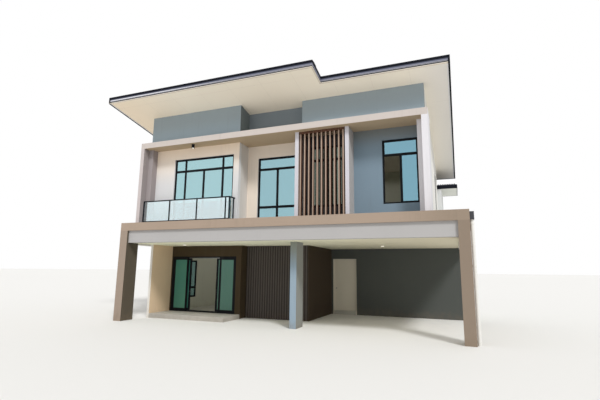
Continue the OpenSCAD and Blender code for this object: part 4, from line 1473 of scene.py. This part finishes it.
@dataclass
class SlidingDoor:
    """Tracks, seals and lock plates of the sliding door.

    Attributes:
        bar: Width of the outer frame's bars.
        leaf_plane: Distance from the frame's front to the leaves' middle.
        lock_z: Height of the lock over the leaf's foot.
        stile: Distance from the leaf's edge to the lock's middle.
    """

    bar: float = 0.05
    leaf_plane: float = 0.078
    lock_z: float = 0.72
    stile: float = 0.03

    def tracks(self) -> None:
        """Builds the raised track, the guide above and the brush seals."""
        span = node_span("sliding_door_frame")
        tracks, brushes = Shape(), Shape()
        y = span.low.y + self.leaf_plane
        x0, x1 = span.low.x + self.bar, span.high.x - self.bar
        z0, z1 = span.low.z + self.bar, span.high.z - self.bar
        rail = [(y - 0.004, z0), (y - 0.002, z0 + 0.0045), (y + 0.002, z0 + 0.0045), (y + 0.004, z0)]
        tracks.prism(rail, x0, x1, Axis.X)
        for offset in (-0.024, 0.024):
            tracks.box((x0, y + offset - 0.0015, z1 - 0.022), (x1, y + offset + 0.0015, z1))
        for offset in (-0.0215, 0.0215):
            brushes.box((x0, y + offset - 0.001, z0), (x1, y + offset + 0.001, z0 + 0.012))
        tracks.piece("sliding_door_tracks", Finish.STEEL, "dark_aluminium")
        brushes.piece("sliding_door_brushes", Finish.RUBBER, "dark_aluminium")

    def lock_plate(self, body: str, right_edge: bool) -> None:
        """Builds the lock's plate and key cylinder on a leaf's meeting stile.

        Args:
            body: The leaf.
            right_edge: Whether the meeting stile is the leaf's right one.
        """
        span = node_span(body)
        x = span.high.x - self.stile if right_edge else span.low.x + self.stile
        face = span.high.y - 0.04
        z = span.low.z + self.lock_z
        plate, cylinder = Shape(), Shape()
        plate.box((x - 0.014, face - 0.003, z - 0.06), (x + 0.014, face, z + 0.06), 0.001)
        ring = [(0.009, 0.0), (0.009, 0.004), (0.0075, 0.0055), (0.002, 0.0055)]
        cylinder.lathe(ring, (x, face - 0.003, z), Side.FRONT, 20)
        plate.piece(body + "_lock_plate", Finish.WINDOW_METAL, "dark_aluminium", body)
        cylinder.piece(body + "_lock_cylinder", Finish.STEEL, "dark_aluminium", body, smooth=True)

    def build(self) -> None:
        """Builds the fittings of the sliding door."""
        self.tracks()
        self.lock_plate("left_leaf", True)
        self.lock_plate("right_leaf", False)


@dataclass
class SideDoor:
    """Trim and lock of the carport door.

    Attributes:
        lock_z: Height of the lock.
        leaf_t: Thickness of the leaf.
        bar: Width of the frame's bars.
        floor_z: Height of the room's floor.
        stop_w: Width of a stop.
    """

    lock_z: float = 1.06
    leaf_t: float = 0.04
    bar: float = 0.05
    floor_z: float = 0.15
    stop_w: float = 0.014

    def build(self) -> None:
        """Builds the stops of the frame and the lock roses of the leaf."""
        leaf, frame = node_span("carport_door"), node_span("door_frame")
        stops, roses = Shape(), Shape()
        front = node_span("carport_wall").high.y - self.leaf_t
        left, right, top = frame.low.x + self.bar, frame.high.x - self.bar, frame.high.z - self.bar
        foot, w = self.floor_z, self.stop_w
        for x0, x1, z0 in ((left, left + w, foot), (right - w, right, foot), (left, right, top - w)):
            stops.box((x0, front - 0.024, z0), (x1, front - 0.008, top), 0.002)
        ring = [(0.024, 0.0), (0.024, 0.005), (0.021, 0.008), (0.010, 0.008), (0.010, 0.011), (0.002, 0.011)]
        x = leaf.low.x + 0.07
        roses.lathe(ring, (x, front, self.lock_z), Side.FRONT, 24)
        roses.lathe(ring, (x, front + self.leaf_t, self.lock_z), Side.BACK, 24)
        stops.piece("door_stops", Finish.DOOR, "door_paint")
        roses.piece("door_lock_roses", Finish.STEEL, "door_paint", "carport_door", smooth=True)


@dataclass
class Lamps:
    """Lenses of the spot lamp and the ceiling lights.

    Attributes:
        ceiling_lights: The object that holds the ceiling lights.
    """

    ceiling_lights: bpy.types.Object

    def build(self) -> None:
        """Builds a lens in each lamp."""
        spot = node_span("spot_lamp")
        lens, bezel = Shape(), Shape()
        foot = Vector((spot.centre.x, spot.centre.y, spot.low.z))
        bowl = [(0.044, -0.029), (0.044, -0.012), (0.036, -0.006), (0.018, -0.001), (0.002, 0.0)]
        rim = [(0.056, -0.014), (0.0575, -0.008), (0.0575, -0.003)]
        rim += [(0.055, 0.0), (0.047, 0.0), (0.047, -0.014)]
        lens.lathe(bowl, foot, Side.DOWN, 32)
        bezel.lathe(rim, foot, Side.DOWN, 32)
        lens.piece("spot_lamp_lens", Finish.LAMP, "pale_pipe", smooth=True)
        bezel.piece("spot_lamp_bezel", Finish.RAIL_METAL, "dark_aluminium", smooth=True)
        discs = Shape()
        disc = [(0.066, -0.006), (0.066, -0.002), (0.05, 0.003), (0.025, 0.006), (0.002, 0.007)]
        for light in separate_spans(self.ceiling_lights):
            at = Vector((light.centre.x, light.centre.y, light.low.z))
            discs.lathe(disc, at, Side.DOWN, 40)
        discs.piece("ceiling_light_lenses", Finish.CEILING_LAMP, "pale_pipe", smooth=True)


@dataclass
class Rainwater:
    """Clips, collars and hangers of the downpipe and the box gutter.

    Attributes:
        pipe_r: Radius of the downpipe.
        clip_heights: Heights of the clips.
        collar_heights: Heights of the lower collars.
        collar_drop: Distance of the highest collar from the pipe's top.
        hanger_count: Number of the gutter's hangers.
        hanger_margin: Distance of the first and last hanger from the gutter's ends.
    """

    pipe_r: float = 0.045
    clip_heights: tuple[float, ...] = (0.45, 1.45, 2.45)
    collar_heights: tuple[float, ...] = (0.10, 1.95)
    collar_drop: float = 0.10
    hanger_count: int = 9
    hanger_margin: float = 0.15

    def build(self) -> None:
        """Builds the pipe's clips and collars, and the gutter's hangers."""
        pipe, gutter = node_span("downpipe"), node_span("gutter")
        clips, collars, hangers = Shape(), Shape(), Shape()
        x, y = pipe.centre.x, pipe.centre.y
        r = self.pipe_r
        low, high = gutter.low, gutter.high
        band = [(r, -0.014), (r + 0.003, -0.014), (r + 0.003, 0.014), (r, 0.014)]
        for z in self.clip_heights:
            clips.lathe(band, (x, y, z), Side.UP, 32)
            clips.box((low.x, y - 0.012, z - 0.012), (x - r + 0.001, y + 0.012, z + 0.012), 0.001)
        socket = [(r, -0.03), (r + 0.004, -0.03), (r + 0.005, 0.022), (r + 0.003, 0.03), (r, 0.03)]
        for z in (*self.collar_heights, pipe.high.z - self.collar_drop):
            collars.lathe(socket, (x, y, z), Side.UP, 32)
        pitch = (gutter.size.y - 2 * self.hanger_margin) / (self.hanger_count - 1)
        for i in range(self.hanger_count):
            at = low.y + self.hanger_margin + i * pitch
            start = (low.x + 0.002, at - 0.012, high.z - 0.008)
            hangers.box(start, (high.x - 0.002, at + 0.012, high.z - 0.004))
        clips.piece("downpipe_clips", Finish.PIPE, "gutter_metal")
        collars.piece("downpipe_collars", Finish.PIPE, "pale_pipe", smooth=True)
        hangers.piece("gutter_hangers", Finish.GUTTER_METAL, "gutter_metal")


@dataclass
class TerraceFloor:
    """Tiles on the terrace slab.

    Attributes:
        tile: Side of a tile.
        joint: Width of a joint.
        tile_t: Height of a tile over the slab.
        back: Where the tiling ends in front of the sliding door.
        sliver: Narrower strips than this get no tile.
    """

    tile: float = 0.6
    joint: float = 0.004
    tile_t: float = 0.009
    back: float = -2.672
    sliver: float = 0.02

    def build(self) -> None:
        """Builds the tiles, cut at the slab's edges, and their grout."""
        slab = node_span("terrace_slab")
        low, high, top = slab.low, slab.high, slab.high.z
        tiles, grout = Shape(), Shape()
        face = self.tile - self.joint
        x = low.x
        while x < high.x - self.sliver:
            y = low.y
            while y < self.back - self.sliver:
                far = (min(x + face, high.x), min(y + face, self.back), top + self.tile_t)
                tiles.box((x, y, top), far, 0.0015)
                y += self.tile
            x += self.tile
        far = (high.x - 0.001, self.back, top + self.tile_t - 0.0025)
        grout.box((low.x, low.y + 0.001, top - 0.001), far)
        tiles.piece("terrace_tiles", Finish.TILE, "pale_concrete")
        grout.piece("terrace_grout", Finish.CONCRETE, "pale_concrete")


@dataclass
class Studio:
    """Floor, light and camera.

    Attributes:
        camera_at: Where the camera stands, in the model's frame.
        yaw: Its turn to the left, in degrees.
        pitch: Its turn up from straight down, in degrees.
        roll: Its roll, in degrees.
        lens: Its focal length on the sensor, in millimetres.
        sensor: Width of the sensor in millimetres.
        floor_size: Half the side of the floor.
        sky: Strength of the light that the sky sheds.
        sun_strength: Strength of the sun.
        sun_width: Its width in the sky, in degrees.
        sunlight: The direction in which its light goes.
    """

    camera_at: Point = (5.898, -16.112, 1.803)
    yaw: float = 21.39
    pitch: float = 99.9
    roll: float = 0.62
    lens: float = 24.03
    sensor: float = 36.0
    floor_size: float = 400.0
    sky: float = 0.70
    sun_strength: float = 2.0
    sun_width: float = 12.0
    sunlight: Point = (-0.55, 0.60, -0.74)

    def camera(self) -> None:
        """Makes the camera of the photograph."""
        data = bpy.data.cameras.new("street_camera")
        data.sensor_width = self.sensor
        data.lens = self.lens
        camera = bpy.data.objects.new("street_camera", data)
        bpy.context.scene.collection.objects.link(camera)
        turns = ((self.yaw, "Z"), (self.pitch, "X"), (self.roll, "Z"))
        place = Matrix.Translation(self.camera_at)
        for angle, axis in turns:
            place = place @ Matrix.Rotation(math.radians(angle), 4, axis)
        camera.matrix_world = place
        bpy.context.scene.camera = camera

    def floor(self) -> None:
        """Makes the plain pale floor."""
        mesh = bmesh.new()
        bmesh.ops.create_grid(mesh, x_segments=1, y_segments=1, size=self.floor_size)
        data = bpy.data.meshes.new("floor")
        mesh.to_mesh(data)
        mesh.free()
        paper = Material("floor_paper")
        paper.set("Base Color", linear((232, 231, 228)))
        paper.set("Roughness", 0.95)
        data.materials.append(paper.data)
        floor = bpy.data.objects.new("floor", data)
        bpy.context.scene.collection.objects.link(floor)

    def world(self) -> None:
        """Makes a soft even sky, which shows as plain white."""
        world = bpy.data.worlds.new("studio")
        bpy.context.scene.world = world
        world.use_nodes = True
        wire = Wiring(world.node_tree)
        rays = wire.add("ShaderNodeLightPath").outputs
        mirrored = wire.math("MAXIMUM", rays["Is Glossy Ray"], rays["Is Transmission Ray"])
        seen = wire.math("MAXIMUM", rays["Is Camera Ray"], mirrored)
        back = world.node_tree.nodes["Background"]
        wire.feed(back.inputs["Color"], (1.0, 1.0, 1.0, 1.0))
        gain = wire.times(seen, 1.0 - self.sky)
        wire.feed(back.inputs["Strength"], wire.plus(gain, self.sky))

    def sun(self) -> None:
        """Adds the sun as a broad soft lamp far away."""
        data = bpy.data.lights.new("key", "SUN")
        data.energy = self.sun_strength
        data.angle = math.radians(self.sun_width)
        lamp = bpy.data.objects.new("key", data)
        lamp.rotation_euler = Vector(self.sunlight).to_track_quat("-Z", "Y").to_euler()
        bpy.context.scene.collection.objects.link(lamp)

    def room_light(self, name: str, place: Point, size: tuple[float, float], power: float) -> None:
        """Adds a broad soft lamp under a room's ceiling, so that the room isn't black behind its glass.

        Args:
            name: The lamp's name.
            place: Its middle.
            size: Its length along X and Y.
            power: Its power in watts.
        """
        data = bpy.data.lights.new(name, "AREA")
        data.shape = "RECTANGLE"
        data.size, data.size_y = size
        data.energy = power
        lamp = bpy.data.objects.new(name, data)
        lamp.location = place
        lamp.visible_camera = lamp.visible_glossy = lamp.visible_transmission = False
        bpy.context.scene.collection.objects.link(lamp)

    def build(self) -> None:
        """Builds the whole studio."""
        self.camera()
        self.floor()
        self.world()
        self.sun()
        self.room_light("living_room_lamp", (-2.2, 0.4, 3.0), (4.6, 4.2), 20.0)
        self.room_light("upper_room_lamp", (0.0, 0.6, 6.1), (8.0, 4.0), 26.0)
        bpy.context.scene.view_settings.view_transform = "Standard"


def main() -> None:
    """Builds the house's looks around its construction."""
    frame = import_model()
    Construction(frame).dress()
    nodes = frame["nodes"]
    RoofCovering().build()
    for name in ("front_window_glass", "side_window_glass", "sliding_door_glass"):
        Glazing(name, nodes[name]).build()
    for body in ("left_leaf", "right_leaf"):
        name = body + "_glass"
        Glazing(name, nodes[name], body).build()
    BalconyRail(nodes["balustrade_glass"]).build()
    SlatFixings().build()
    SlidingDoor().build()
    SideDoor().build()
    Lamps(nodes["ceiling_lights"]).build()
    Rainwater().build()
    TerraceFloor().build()
    Studio().build()


if __name__ == "__main__":
    logging.basicConfig(level=logging.INFO, format="%(message)s")
    main()
